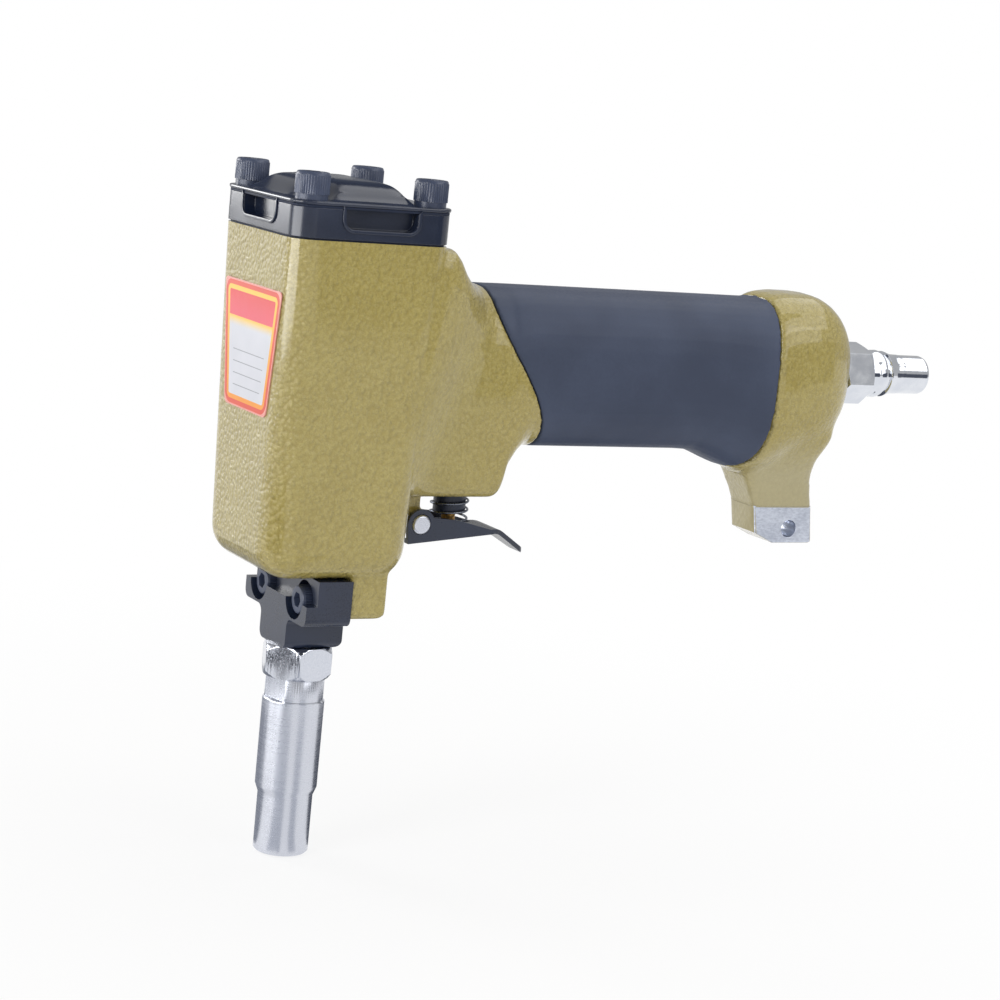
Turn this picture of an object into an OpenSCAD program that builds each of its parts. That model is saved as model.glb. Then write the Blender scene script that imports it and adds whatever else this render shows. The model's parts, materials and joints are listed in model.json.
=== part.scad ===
// Air-driven nail gun for upholstery nails, built from its separate parts.
// The barrel's lower rim is at the origin, +X runs back along the handle and +Z is up.

/* [Barrel and lock nut] */
// Diameter of the barrel's tip
tip_d = 16; // [15:0.2:17]
// Length of the barrel's tip
tip_len = 17.2; // [15:0.2:24]
// Height of the sloping shoulder above the tip
shoulder_len = 2.6; // [1.6:0.2:4]
// Diameter of the barrel's sleeve
sleeve_d = 18; // [17.4:0.2:20]
// Length of the barrel's sleeve
sleeve_len = 26.2; // [20:0.2:36]
// Diameter of the neck that carries the wrench flats
neck_d = 17; // [16.2:0.2:17.4]
// Length of the neck
neck_len = 6.6; // [4:0.2:10]
// Width across the wrench flats
neck_flats = 14.6; // [14.2:0.2:16]
// Diameter of the barrel's thread
thread_d = 14; // [12.8:0.2:14.2]
// Length of thread that enters the nose block
thread_hold = 10.5; // [8:0.5:10.5]
// Diameter of the recess for the nail's head
recess_d = 12.4; // [11.4:0.2:13.2]
// Depth of the recess for the nail's head
recess_len = 14; // [8:0.5:16]
// Length of the ring magnet
magnet_len = 4; // [2:0.5:6]
// Diameter of the driver's bore in the barrel
driver_bore = 8.6; // [8.6:0.1:9.2]
// Width across the lock nut's flats
nut_flats = 19; // [18:0.5:22]
// Height of the lock nut
nut_h = 9.4; // [6:0.2:12]
// Height of the lock nut's chamfer at its corners
nut_bevel = 2; // [0.8:0.1:2.4]
// Turn of the lock nut about the barrel
nut_turn = 10.7; // [0:0.1:60]
// Turn of the wrench flats about the barrel
flats_turn = 16.7; // [0:0.1:90]

/* [Nose block] */
// Height of the nose block
block_h = 22.4; // [20:0.2:28]
// Width of the block's pillar
pillar_w = 18; // [17:0.2:19]
// Distance from the barrel's axis to the pillar's front
pillar_front = 8.5; // [8.2:0.1:10]
// Distance from the barrel's axis to the pillar's back
pillar_rear = 9.4; // [8.2:0.2:10]
// Width across the block's ears
ear_w = 42.6; // [41:0.2:44]
// Height of the ears
ear_h = 13.2; // [12.6:0.2:15]
// Distance from the barrel's axis to the back of the ears
ear_rear = 5.4; // [5:0.2:6]
// Rounding of the block's edges
block_round = 2.4; // [1:0.2:3]
// Height of the ledge at the block's top
ledge_h = 7.2; // [5:0.2:8]
// Distance from the barrel's axis to the ledge's face
ledge_front = 5.2; // [4:0.2:6]
// Diameter of the nose screws
nose_screw_d = 5; // [4.6:0.2:5.6]
// Distance between the nose screws
nose_screw_gap = 24.9; // [24:0.1:26]
// Height of the nose screws below the block's top
nose_screw_drop = 6.9; // [6.4:0.1:7.6]
// Diameter of the pockets for the nose screws' heads
pocket_d = 11.2; // [10.6:0.2:11.8]
// Distance from the barrel's axis to the pockets' floor
pocket_floor = 2.5; // [2:0.1:3.4]
// Length of the nose screws under the head
nose_screw_len = 16; // [14:0.5:17]

/* [Head of the body] */
// Distance from the barrel's axis to the head's front
head_front = 23.6; // [23.6:0.2:26]
// Distance from the barrel's axis to the head's back
head_rear = 24.4; // [23.6:0.2:26]
// Width of the head at the top
head_w = 52; // [51.6:0.2:56]
// Height of the head
head_h = 95.6; // [92:0.2:104]
// Rounding of the head's upright corners
head_corner = 6; // [4:0.2:6.6]
// Inset of the head's front at the bottom
front_inset = 1; // [1:0.1:2.4]
// Inset of each of the head's sides at the bottom
side_inset = 1.5; // [0.8:0.1:1.8]
// Inset of the head's back at the bottom
rear_inset = 2.6; // [2:0.1:4]
// Rounding of the head's bottom edges
foot_round = 9; // [6:0.2:10]
// Rounding of the head's upright corners at the bottom
foot_corner = 10; // [9.4:0.2:12]
// Depth of the cast stub behind the nose block
stub_len = 11.2; // [10.8:0.2:13]
// Height of the stub below the head
stub_drop = 11.4; // [11:0.2:12.4]
// Width of the stub
stub_w = 41.4; // [39:0.2:42]

/* [Cylinder and piston] */
// Wall of the head beside the air chamber
chamber_side = 5; // [4.7:0.1:5.4]
// Wall of the head in front of and behind the air chamber
chamber_end = 3; // [2.7:0.1:3.4]
// Gap between the cylinder sleeve and the air chamber's wall
chamber_gap = 3; // [2.8:0.1:3.4]
// Wall of the cylinder sleeve
cylinder_wall = 2; // [1.6:0.1:2.2]
// Step from the air chamber in to the seat at its floor
seat_step = 1; // [0.8:0.1:1.2]
// Height of the seat at the chamber's floor
seat_h = 10; // [8:0.5:14]
// Thickness of the head's floor
floor_t = 7.6; // [6:0.2:9]
// Distance from the head's top down to the sleeve's top
cylinder_drop = 12; // [11:0.2:13]
// Height of the sleeve's middle collar above the chamber's floor
collar_rise = 46; // [40:0.5:50]
// Height of the sleeve's middle collar
collar_h = 6; // [5:0.2:8]
// Height of the rubber bumper
bumper_h = 15.2; // [14:0.2:20]
// Height of the piston
piston_h = 14; // [12:0.2:16]
// Diameter of the driver rod
driver_d = 8; // [7.6:0.1:8.2]
// Depth of the rod's seat in the piston
driver_seat = 9; // [6:0.5:10]
// Outside diameter of the driver's guide bush
guide_d = 14; // [13:0.2:15]

/* [Cap and head valve] */
// Height of the cap seat
cap_h = 8.3; // [7.6:0.1:10]
// Thickness of the gasket under the cap
cap_gasket_t = 0.5; // [0.4:0.1:1]
// Thickness of the gasket under the deflector
seal_plate_t = 0.6; // [0.4:0.1:1]
// Thickness of the deflector's sheet
sheet_t = 1.2; // [0.8:0.1:1.6]
// Height of the deflector's raised pan
pan_rise = 5.4; // [4:0.2:7]
// Overhang of the deflector past the cap
plate_lip = 0.3; // [0.2:0.1:1]
// Diameter of the cap screws
cap_screw_d = 6; // [5.4:0.1:6.2]
// Distance from the head's front and back to the cap screws
cap_screw_end = 5.95; // [5.6:0.05:6.2]
// Distance from the head's sides to the cap screws
cap_screw_side = 5.4; // [5.2:0.1:5.6]
// Length of the cap screws under the head
cap_screw_len = 32; // [24:0.5:34]
// Thickness of the spring washers
washer_t = 1.5; // [1:0.1:2]
// Width of the exhaust slots
slot_w = 22; // [18:0.5:23]
// Height of the exhaust slots
slot_h = 5.4; // [4:0.1:5.6]
// Distance of the side slots behind the head's middle
slot_back = 1.2; // [0:0.1:1.6]
// Depth of the exhaust slots
slot_depth = 3.4; // [2.6:0.1:3.8]
// Thickness of the cap's web over the head valve
web_t = 3.5; // [3:0.1:4]
// Lift of the head valve
valve_lift = 4; // [3:0.1:4.4]
// Diameter of the exhaust port
exhaust_d = 10; // [9:0.2:11]

/* [Handle and grip] */
// Depth of the head's top above the handle's axis
handle_drop = 35.3; // [34:0.1:37]
// Width of the grip
handle_w = 35; // [34:0.5:37]
// Height of the grip
handle_h = 46.8; // [45:0.2:49]
// Squareness of the grip's section
squareness = 3; // [2.4:0.1:3.6]
// Inset of the throat from the head's sides
throat_inset = 1; // [0.8:0.1:2.4]
// Squareness of the throat where it meets the head
throat_squareness = 16; // [8:0.5:18]
// Squareness of the underside around the valve
housing_squareness = 8; // [6:0.5:9]
// Height over which the throat widens from the valve up
throat_tall = 62; // [56:1:66]
// Distance from the barrel's axis to the throat's end
throat_end = 46; // [43:0.5:48]
// Thickness of the rubber grip
grip_t = 2.6; // [2:0.1:3.2]
// Distance from the barrel's axis to the grip's front at the top
grip_front = 45.6; // [44:0.2:48]
// Sweep of the grip's front edge towards the bottom
grip_sweep = 19.4; // [15:0.2:22]
// Distance from the barrel's axis to the grip's back
grip_rear = 144.3; // [138:0.5:146]
// Length of the flare under the grip's back
flare_len = 26; // [20:0.5:30]
// Drop of the flare under the grip's back
flare_drop = 7; // [5:0.2:8]
// Bore of the air chamber in the handle
air_d = 24; // [20:0.5:25]

/* [Trigger and trigger valve] */
// Depth of the valve housing's underside below the handle's axis
valve_drop = 37.7; // [36:0.1:40]
// Distance from the barrel's axis to the valve's axis
valve_x = 44.7; // [44:0.1:46]
// Diameter of the valve body
valve_d = 13.6; // [13.4:0.2:14.4]
// Length of the valve body inside the housing
valve_len = 20; // [18:0.5:21]
// Diameter of the valve's boss
boss_d = 9.6; // [9:0.1:9.8]
// Length of the valve's boss
boss_len = 6.2; // [5.6:0.1:6.6]
// Diameter of the valve's stem
stem_d = 4; // [3.4:0.1:4.4]
// Wall of the valve housing behind the valve
housing_wall = 1.2; // [1.2:0.1:2.4]
// Distance from the barrel's axis to the trigger's pin
pin_x = 32.3; // [32:0.1:33]
// Depth of the trigger's pin below the valve housing
pin_drop = 8.9; // [8.6:0.1:9.4]
// Diameter of the trigger's pin
pin_d = 6; // [5:0.1:6.2]
// Width of the lug that carries the pin
lug_w = 9; // [7:0.5:10]
// Diameter of the lug's eye around the pin
lug_d = 8.4; // [8:0.1:8.6]
// Width across the trigger's side plates
trigger_w = 15; // [14.8:0.2:16]
// Thickness of the trigger's sheet
trigger_t = 1.4; // [1.2:0.1:1.6]
// Distance from the pin to the trigger's underside
trigger_drop = 5.4; // [5:0.1:5.8]
// Slope of the trigger's underside
trigger_slope = 6; // [5:0.1:7]
// Reach of the trigger's side plates behind the pin
trigger_reach = 23; // [22:0.2:24]
// Radius of the plates around the pin
trigger_round = 4.4; // [4.3:0.1:4.8]
// Radius of the tongue's bend
tongue_r = 4.6; // [4:0.2:6]
// Angle of the tongue's bend
tongue_angle = 38; // [30:1:45]
// Length of the tongue past its bend
tongue_len = 10.6; // [8:0.2:12]
// Width of the tongue at its tip
tongue_w = 7; // [6:0.2:9]
// Wire of the trigger's spring
spring_wire = 0.7; // [0.5:0.1:0.8]
// Turns of the trigger's spring
spring_turns = 4; // [3:0.5:4.5]

/* [Rear end and air plug] */
// Distance from the barrel's axis to the body's rear face
rear_x = 176.4; // [174:0.2:180]
// Rise of the rear end above the grip
rear_rise = 2.4; // [1.6:0.1:3]
// Swell of the rear end beside the grip
rear_swell = 0.7; // [0.4:0.1:1.2]
// Length of the rear end's rounded part
rear_round = 18; // [15:0.5:20]
// Width of the tang
tang_w = 13.6; // [12.8:0.2:15]
// Length of the tang at its foot
tang_len = 21.8; // [20:0.2:23]
// Distance from the handle's axis down to the tang's foot
tang_drop = 52.3; // [50:0.2:55]
// Height of the tang's machined pad
pad_h = 11.6; // [10.6:0.2:13]
// Depth of the tang's machined pad
pad_cut = 0.5; // [0.3:0.1:0.8]
// Rounding of the tang's rear corner at the foot
foot_curl = 2.2; // [1:0.1:3]
// Diameter of the tang's hole
tang_hole_d = 5.5; // [5:0.1:6]
// Distance from the tang's back to its hole
tang_hole_back = 9.6; // [8.4:0.2:11]
// Height of the tang's hole above the foot
tang_hole_rise = 4.5; // [4.2:0.1:6]
// Width across the plug's hex
plug_flats = 17; // [15:0.2:17.6]
// Turn of the plug's hex about its axis
plug_turn = 45; // [0:1:60]
// Rise of the plug above the handle's axis
plug_rise = 1.1; // [0:0.1:2]
// Length of the plug's hex
plug_hex_len = 10; // [8:0.2:11]
// Diameter of the plug's collar
collar_d = 14; // [13.2:0.2:14.6]
// Length of the plug's collar
collar_len = 14.4; // [12:0.2:16]
// Diameter of the plug's barrel
plug_d = 12.2; // [11.6:0.1:12.6]
// Length of the plug's barrel
plug_len = 9.2; // [8:0.2:12]
// Diameter of the plug's thread
plug_thread_d = 13; // [12:0.2:14]
// Bore of the plug
plug_bore = 7; // [6:0.2:8]

/* [Front label] */
// Height of the label
label_h = 35.4; // [30:0.2:40]
// Distance from the head's sides to the label at its top
label_side = 6.5; // [6.4:0.1:9]
// Taper of each of the label's sides
label_taper = 5; // [3:0.2:6]
// Thickness of the label
label_t = 0.3; // [0.2:0.1:0.5]
// Sideways shift of the label
label_shift = 0.8; // [0:0.1:1.2]
// Distance from the head's top down to the label
label_drop = 15.2; // [10:0.2:24]

/* [Fits] */
// Radial gap of parts that are fitted and stay put
fit = 0.1; // [0.05:0.01:0.15]
// Radial gap of parts that run on each other
run = 0.05; // [0.02:0.01:0.09]
// Small chamfer on turned edges
edge = 0.6; // [0.3:0.1:0.8]

/* [Hidden] */
$fn = 64;
over = 1;
corner_steps = 6;
ring_steps = 36;
tube_sides = 6;
tube_rings = 16;

// Heights from the muzzle up
shoulder_z = tip_len;
sleeve_z = shoulder_z + shoulder_len;
neck_z = sleeve_z + sleeve_len;
nut_z = neck_z + neck_len;
block_z = nut_z + nut_h;
head_z = block_z + block_h;
top_z = head_z + head_h;
cap_z = top_z + cap_gasket_t;
seal_z = cap_z + cap_h;
plate_z = seal_z + seal_plate_t;
washer_z = plate_z + sheet_t;
screw_head_z = washer_z + washer_t;
stub_z = head_z - stub_drop;
floor_z = head_z + floor_t;
collar_z = floor_z + collar_rise;
cylinder_z = top_z - cylinder_drop;
axis_z = top_z - handle_drop;
valve_z = axis_z - valve_drop;
pin_z = valve_z - pin_drop;
boss_z = valve_z - boss_len;
foot_z = axis_z - tang_drop;
nose_screw_z = head_z - nose_screw_drop;
web_z = seal_z - web_t;

// Sizes that follow from the sizes above
head_mid = (head_rear - head_front) / 2;
head_l = head_front + head_rear;
cap_screw_l = head_l - 2 * cap_screw_end;
cap_screw_w = head_w - 2 * cap_screw_side;
throat_w = head_w - 2 * throat_inset;
label_top_w = head_w - 2 * label_side;
label_foot_w = label_top_w - 2 * label_taper;
chamber_d = min(head_w - 2 * chamber_side, 2 * min(head_front, head_rear) - 2 * chamber_end);
seat_d = chamber_d - 2 * seat_step;
cylinder_bore = chamber_d - 2 * (chamber_gap + cylinder_wall);
magnet_step = 0.8;
magnet_d = recess_d - 2 * magnet_step;
magnet_bore = driver_bore + 2 * run;
barrel_top = block_z + thread_hold;
cylinder_d = cylinder_bore + 2 * cylinder_wall;
ring_d = 2;
ring_room = 0.4;
piston_ring_d = 2.6;
piston_rest = 0.5;
piston_top = cylinder_z - piston_rest;
piston_z = piston_top - piston_h;
stop_gap = 0.3;
stroke = piston_z - stop_gap - bumper_h - floor_z;
driver_end = piston_z + driver_seat;
driver_tip = stroke + edge;
skirt_d = chamber_d - 4 * fit;
skirt_bore = cylinder_d + 2 * fit;
skirt_drop = 7.5;
skirt_z = cap_z - skirt_drop;
valve_disc_t = 4.4;
lift_gap = 0.3;
exhaust_seal_t = 1.4;
exhaust_seal_z = web_z - exhaust_seal_t;
valve_top = exhaust_seal_z - valve_lift - lift_gap;
valve_seat_z = cylinder_z + fit;
valve_rim_wall = 3.4;
lid_wire = 1.6;
coil_room = 2 * lid_wire;
rim_in_d = skirt_bore - 2 * (run + valve_rim_wall + coil_room);
nose_head_share = 1.7;
cap_head_share = 1.6;
key_share = 0.83;
nose_head_d = nose_screw_d * nose_head_share;
cap_head_d = cap_screw_d * cap_head_share;
washer_d = cap_head_d - edge;
screw_room = 0.3;
pan_rim = 1.6 * edge;
grip_gap = 0.25;
core_w = handle_w - 2 * grip_t;
core_h = handle_h - 2 * grip_t;
housing_end = valve_x + valve_d / 2 + housing_wall;
housing_round = 2.6;
housing_curve = 10;
throat_tuck = 6.4;
throat_tight = 4.2;
throat_start = head_rear - throat_tuck;
throat_lead = throat_end - throat_start;
throat_slant = 14;
throat_fade = throat_lead - throat_slant / 2;
throat_top = handle_drop - edge;
rear_tuck = 5.1;
tang_rear = rear_x - rear_tuck;
tang_front = tang_rear - tang_len;
plug_hex_x = rear_x;
plug_z = axis_z + plug_rise;
plug_collar_x = plug_hex_x + plug_hex_len;
plug_barrel_x = plug_collar_x + collar_len;
plug_end = plug_barrel_x + plug_len;
plug_thread_len = 11;
air_end = rear_x - plug_thread_len - 2 * over;
feed_d = 9;
passage_d = 14;
passage_rise = 6;
pilot_d = 3;
trigger_in = trigger_w - 2 * trigger_t;
seat_slope = tan(trigger_slope);
web_top_z = pin_z - (trigger_drop - trigger_t) / cos(trigger_slope) + (valve_x - pin_x) * seat_slope;
stem_gap = 0.25;
valve_sink = edge;
stem_z = web_top_z + stem_gap + (stem_d / 2) * (1 / cos(trigger_slope) - 1);
plate_shares = [2.75, 0.52];
plate_knee = trigger_round * plate_shares[0];
plate_hip = trigger_round * plate_shares[1];
spring_room = 0.3;
spring_mid = boss_d / 2 + spring_wire / 2 + spring_room;
spring_top = valve_z + valve_sink - spring_wire / 2 - fit;
spring_foot = web_top_z + (spring_mid + spring_wire) * seat_slope + spring_wire / 2 + 2 * fit;
lug_back = edge;
tongue_start = trigger_reach + trigger_t / 2;
tongue_end = tongue_start + (tongue_r + trigger_t) * sin(tongue_angle) + tongue_len * cos(tongue_angle);
lid_turns = 3.5;
lid_mid = rim_in_d / 2 + coil_room / 2;
lid_foot = valve_seat_z + valve_disc_t + lid_wire / 2 + fit;
lid_top = web_z - lid_wire / 2 - fit;

// Shares that shape the smooth forms
head_shares = [0.25, 0.5, 0.75, 1];
throat_shares = [0, 0.12, 0.25, 0.33, 0.42, 0.52, 0.64, 0.76, 0.88, 1];
curve_shares = [0, 0.3, 0.6, 0.82, 0.95, 1];
grip_shares = [0.2, 0.5, 0.8];
flare_shares = [0, 0.2, 0.35, 0.5, 0.65, 0.8, 1];
rear_shares = [0.12, 0.3, 0.46, 0.6, 0.72, 0.82, 0.91, 1];
pan_shares = [[1, 0], [0.95, 0.07], [0.89, 0.24], [0.82, 0.5], [0.75, 0.74], [0.67, 0.9], [0.55, 0.97],
    [0.3, 1]];
tang_shares = [[0, 0, 0, 0], [0.22, 0.02, 0.24, -0.4], [0.3, 0.05, 0.45, -0.65], [0.4, 0.15, 0.8, -0.9],
    [0.5, 0.4, 1.12, -0.85], [0.58, 0.65, 1.3, -0.4], [0.66, 0.82, 1.35, 0.1], [0.8, 0.7, 1.35, 0]];
tang_flare = 8;
tang_lead = 4;
tang_squareness = 9;
grip_curve_share = 0.93;
flare_curve_share = 0.77;
flare_back_share = 1.4;
tang_cut_shares = [0.34, 0.3, 0.16];
valve_ring_shares = [0.25, 0.72];
stem_ring_share = 0.45;
hex_point_share = 0.58;
plug_shares = [[0.02, 0.95], [0.07, 1], [0.2, 1], [0.28, 1.06], [0.38, 1.07], [0.44, 1.03], [0.46, 0.93],
    [0.54, 0.93], [0.56, 1.03], [0.61, 1], [0.76, 0.9], [0.98, 0.885]];
end_share = 0.93;
plan_share = 0.8;

// Points and curves
function xy(c) = [c.x, c.y];
function unit(v) = v / norm(v);
function smooth(t) = t <= 0 ? 0 : t >= 1 ? 1 : t * t * (3 - 2 * t);
function mix(a, b, t) = a + (b - a) * t;
function dome(t) = sqrt(max(0, 1 - t * t));
function sum(v, i = 0) = i < len(v) - 1 ? v[i] + sum(v, i + 1) : v[i];
function mean(v) = sum(v) / len(v);

function corner(a, p, b, r) =
    let (u = unit(a - p), v = unit(b - p), half = acos(u * v) / 2)
    let (c = p + unit(u + v) * r / sin(half), s = p + u * r / tan(half) - c, e = p + v * r / tan(half) - c)
    let (from = atan2(s.y, s.x), turn = atan2(cross(s, e), s * e))
    [for (i = [0:corner_steps]) let (w = from + turn * i / corner_steps) c + r * [cos(w), sin(w)]];

// Outline whose corners are [place, place, radius]
function outline(cs) =
    let (n = len(cs))
    [for (i = [0:n - 1])
        each cs[i][2] <= 0 ? [xy(cs[i])]
            : corner(xy(cs[(i + n - 1) % n]), xy(cs[i]), xy(cs[(i + 1) % n]), cs[i][2])];

function box_outline(x0, x1, y0, y1, r) = outline([[x0, y0, r], [x1, y0, r], [x1, y1, r], [x0, y1, r]]);

function squircle(half_w, half_h, power) =
    [for (i = [0:ring_steps - 1]) let (c = cos(360 * i / ring_steps), s = sin(360 * i / ring_steps))
        [half_w * sign(c) * pow(abs(c), 2 / power), half_h * sign(s) * pow(abs(s), 2 / power)]];

// Smooth solid through a row of rings with equal numbers of points
module skin(rings) {
    n = len(rings[0]);
    last = len(rings) - 1;
    sides = [for (i = [0:last - 1], j = [0:n - 1])
        let (a = i * n + j, b = i * n + (j + 1) % n)
        each [[a, a + n, b], [b, a + n, b + n]]];
    all = [for (r = rings) each r];
    ends = [mean(rings[0]), mean(rings[last])];
    first_end = [for (j = [0:n - 1]) [j, (j + 1) % n, len(all)]];
    last_end = [for (j = [0:n - 1]) [last * n + (j + 1) % n, last * n + j, len(all) + 1]];
    polyhedron(points = concat(all, ends), faces = concat(sides, first_end, last_end));
}

// Profile in X and Z, spread evenly to both sides
module across(w) {
    rotate([90, 0, 0])
        linear_extrude(w, center = true)
            children();
}

// Profile in Y and Z, run along X from a place
module along(x, length) {
    translate([x, 0, 0])
        rotate([90, 0, 90])
            linear_extrude(length)
                children();
}

module post(x, y, z, d, h) {
    translate([x, y, z])
        cylinder(d = d, h = h);
}

module bar(x, y, z, d, length) {
    translate([x, y, z])
        rotate([0, 90, 0])
            cylinder(d = d, h = length);
}

module cross_bar(x, z, d, w) {
    translate([x, 0, z])
        rotate([90, 0, 0])
            cylinder(d = d, h = w, center = true);
}

module tube(d, bore, z, h) {
    difference() {
        post(0, 0, z, d, h);
        post(0, 0, z - over, bore, h + 2 * over);
    }
}

module ring(mid, wire, z) {
    translate([0, 0, z])
        rotate_extrude()
            translate([mid, 0])
                circle(d = wire);
}

// Groove for a sealing ring that closes a bore
module groove(bore, wire, z) {
    tube(bore + over, bore - 4 * run - 2 * wire, z - wire / 2 - ring_room / 2, wire + ring_room);
}

// Pin with both ends chamfered
module turned_pin(d, h) {
    rotate_extrude()
        polygon([[0, 0], [d / 2 - edge, 0], [d / 2, edge], [d / 2, h - edge], [d / 2 - edge, h], [0, h]]);
}

module hex(flats, h) {
    cylinder(d = flats / cos(30), h = h, $fn = 6);
}

// Hex whose points are turned off at both ends
module turned_hex(flats, h, turn, bevel) {
    point = flats * hex_point_share;
    intersection() {
        rotate([0, 0, turn])
            hex(flats, h);
        rotate_extrude()
            polygon([[0, 0], [flats / 2, 0], [point, bevel], [point, h - bevel], [flats / 2, h], [0, h]]);
    }
}

module at_cap_screws() {
    for (sx = [-1, 1], sy = [-1, 1])
        translate([head_mid + sx * cap_screw_l / 2, sy * cap_screw_w / 2, 0])
            children();
}

module at_nose_screws() {
    for (sy = [-1, 1])
        translate([0, sy * nose_screw_gap / 2, nose_screw_z])
            children();
}

// One unbroken wire wound about an upright line
function coil_point(mid, turns, z0, z1, t) =
    [mid * cos(360 * turns * t), mid * sin(360 * turns * t), mix(z0, z1, t)];

function coil_ring(mid, wire, turns, z0, z1, t) =
    let (c = coil_point(mid, turns, z0, z1, t), a = 360 * turns * t)
    let (rise = atan2(z1 - z0, 2 * PI * mid * turns), out = [cos(a), sin(a), 0])
    let (up = [sin(a) * sin(rise), -cos(a) * sin(rise), cos(rise)])
    [for (k = [0:tube_sides - 1]) let (w = 360 * k / tube_sides)
        c + wire / 2 * (cos(w) * out - sin(w) * up)];

module coil(mid, wire, turns, z0, z1) {
    steps = round(turns * tube_rings);
    skin([for (i = [0:steps]) coil_ring(mid, wire, turns, z0, z1, i / steps)]);
    centre = [for (i = [0:steps]) coil_point(mid, turns, z0, z1, i / steps)];
    apart = min([for (i = [0:steps], j = [0:steps])
        if (j - i > tube_rings / 2) norm(centre[i] - centre[j])]);
    echo(coil_gap = apart - wire);
}

// Handle, from the head to the rear face
rear_start = rear_x - rear_round;
rear_reach = rear_round / end_share;
flare_start = grip_rear - flare_len;

function rear_fall(x) = dome((x - rear_start) / rear_reach * (x > rear_start ? 1 : 0));
function rear_step(x) = smooth((x - grip_rear + rear_rise) / (3 * rear_rise));

function throat_part(x) = 1 - smooth((x - throat_start) / throat_lead);
function throat_from(z) =
    throat_start + throat_slant * (smooth((z + valve_drop) / throat_tall) - 1 / 2);
function throat_flank(x, z) = 1 - smooth((x - throat_from(z)) / throat_fade);
function handle_half(x, z) =
    x < throat_end ? handle_w / 2 + (throat_w - handle_w) / 2 * throat_flank(x, z)
    : (handle_w / 2 + rear_swell * rear_step(x)) * pow(rear_fall(x), plan_share);

function throat_rise(x) =
    let (rise = throat_top - handle_h / 2, lead = throat_end - head_rear - throat_tight)
    let (r = (lead * lead / rise + rise) / 2, back = min(lead, throat_end - x))
    r - sqrt(r * r - back * back);

function handle_over(x) =
    x < throat_end ? handle_h / 2 + throat_rise(x)
    : (handle_h / 2 + rear_rise * rear_step(x)) * rear_fall(x);

function flare_part(x) =
    smooth((x - flare_start) / flare_len) * (1 - smooth((x - grip_rear) / (rear_start - grip_rear)));
function handle_under(x) =
    let (from = housing_end - housing_round, deep = valve_drop - handle_h / 2 - housing_round)
    x <= from ? valve_drop
    : x <= housing_end ? valve_drop - housing_round * (1 - dome((x - from) / housing_round))
    : x < housing_end + housing_curve
        ? handle_h / 2 + deep * (1 - dome((housing_end + housing_curve - x) / housing_curve))
    : (handle_h / 2 + flare_drop * flare_part(x)) * rear_fall(x);

function housing_part(x) = 1 - smooth((x - housing_end + housing_round) / (housing_round + housing_curve));

function handle_ring(x) =
    let (up = handle_over(x), down = handle_under(x), tall = (up + down) / 2)
    let (high = squircle(1, tall, mix(squareness, throat_squareness, throat_part(x))))
    let (low = squircle(1, tall, mix(squareness, housing_squareness, housing_part(x))))
    [for (i = [0:ring_steps - 1]) let (p = 2 * i <= ring_steps ? high[i] : low[i], z = p.y + (up - down) / 2)
        [x, p.x * handle_half(x, z), axis_z + z]];

handle_places = concat(
    [for (s = throat_shares) throat_start + throat_lead * s],
    [for (s = curve_shares) housing_end - housing_round + housing_round * s],
    [for (s = curve_shares) if (s > 0) housing_end + housing_curve * (1 - cos(90 * s))],
    [for (s = grip_shares) mix(housing_end + housing_curve, flare_start, s)],
    [for (s = flare_shares) flare_start + flare_len * s - rear_rise],
    [grip_rear, grip_rear + rear_rise, grip_rear + 3 * rear_rise, rear_start],
    [for (s = rear_shares) rear_start + rear_round * s]);

module handle_form() {
    skin([for (x = handle_places) handle_ring(x)]);
}

module handle_core(gap) {
    along(grip_front - grip_t, grip_rear - grip_front + 3 * grip_t)
        translate([0, axis_z])
            polygon(squircle(core_w / 2 + gap, core_h / 2 + gap, squareness));
}

// Stretch of the handle that the rubber covers, seen from the side
function grip_edge(z) =
    grip_front + grip_sweep * smooth((axis_z + handle_h / 2 - z) / (handle_h * grip_curve_share));
function grip_back(z) =
    let (down = (axis_z - flare_len / 3 - z) / (flare_len * flare_curve_share))
    grip_rear - flare_drop * flare_back_share * (1 - dome(min(1, max(0, down))));

module grip_zone(gap) {
    up = axis_z + handle_h / 2 + over;
    low = axis_z - handle_h / 2 - flare_drop + edge;
    steps = 3 * corner_steps;
    across(handle_w + 4 * over)
        polygon(concat(
            [for (i = [0:steps]) let (z = mix(up, low, i / steps)) [grip_edge(z) + gap, z]],
            [for (i = [0:steps]) let (z = mix(low, up, i / steps)) [grip_back(z) - gap, z]]));
}

// Tang under the handle's rear end
function tang_ring(s) =
    let (z = mix(foot_z, axis_z - edge, s[0]), half = tang_w / 2 + pad_cut + tang_flare * s[1])
    let (back = tang_rear + tang_lead * s[3], front = tang_front - tang_flare * s[2])
    [for (p = squircle((back - front) / 2, half, tang_squareness)) [p.x + (back + front) / 2, p.y, z]];

module tang_form() {
    skin([for (s = tang_shares) tang_ring(s)]);
}

function head_ring(h, inset) =
    let (t = 1 - h / head_h, r = mix(head_corner, foot_corner, t) - inset)
    let (half = head_w / 2 - side_inset * t - inset, front = front_inset * t + inset - head_front)
    [for (p = box_outline(front, head_rear - rear_inset * t - inset, -half, half, r))
        [p.x, p.y, head_z + h]];

module head_form() {
    skin(concat(
        [for (i = [0:corner_steps]) let (a = 90 * i / corner_steps)
            head_ring(foot_round * (1 - cos(a)), foot_round * (1 - sin(a)))],
        [for (s = head_shares) head_ring(mix(foot_round, head_h, s), 0)]));
}

module stub_form() {
    intersection() {
        across(stub_w)
            polygon(outline([[ear_rear, stub_z, 0], [ear_rear + stub_len, stub_z, block_round],
                [ear_rear + stub_len, floor_z, 0], [ear_rear, floor_z, 0]]));
        along(0, ear_rear + stub_len + over)
            polygon(outline([[-stub_w / 2, stub_z, block_round], [stub_w / 2, stub_z, block_round],
                [stub_w / 2, floor_z, 0], [-stub_w / 2, floor_z, 0]]));
    }
}

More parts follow.
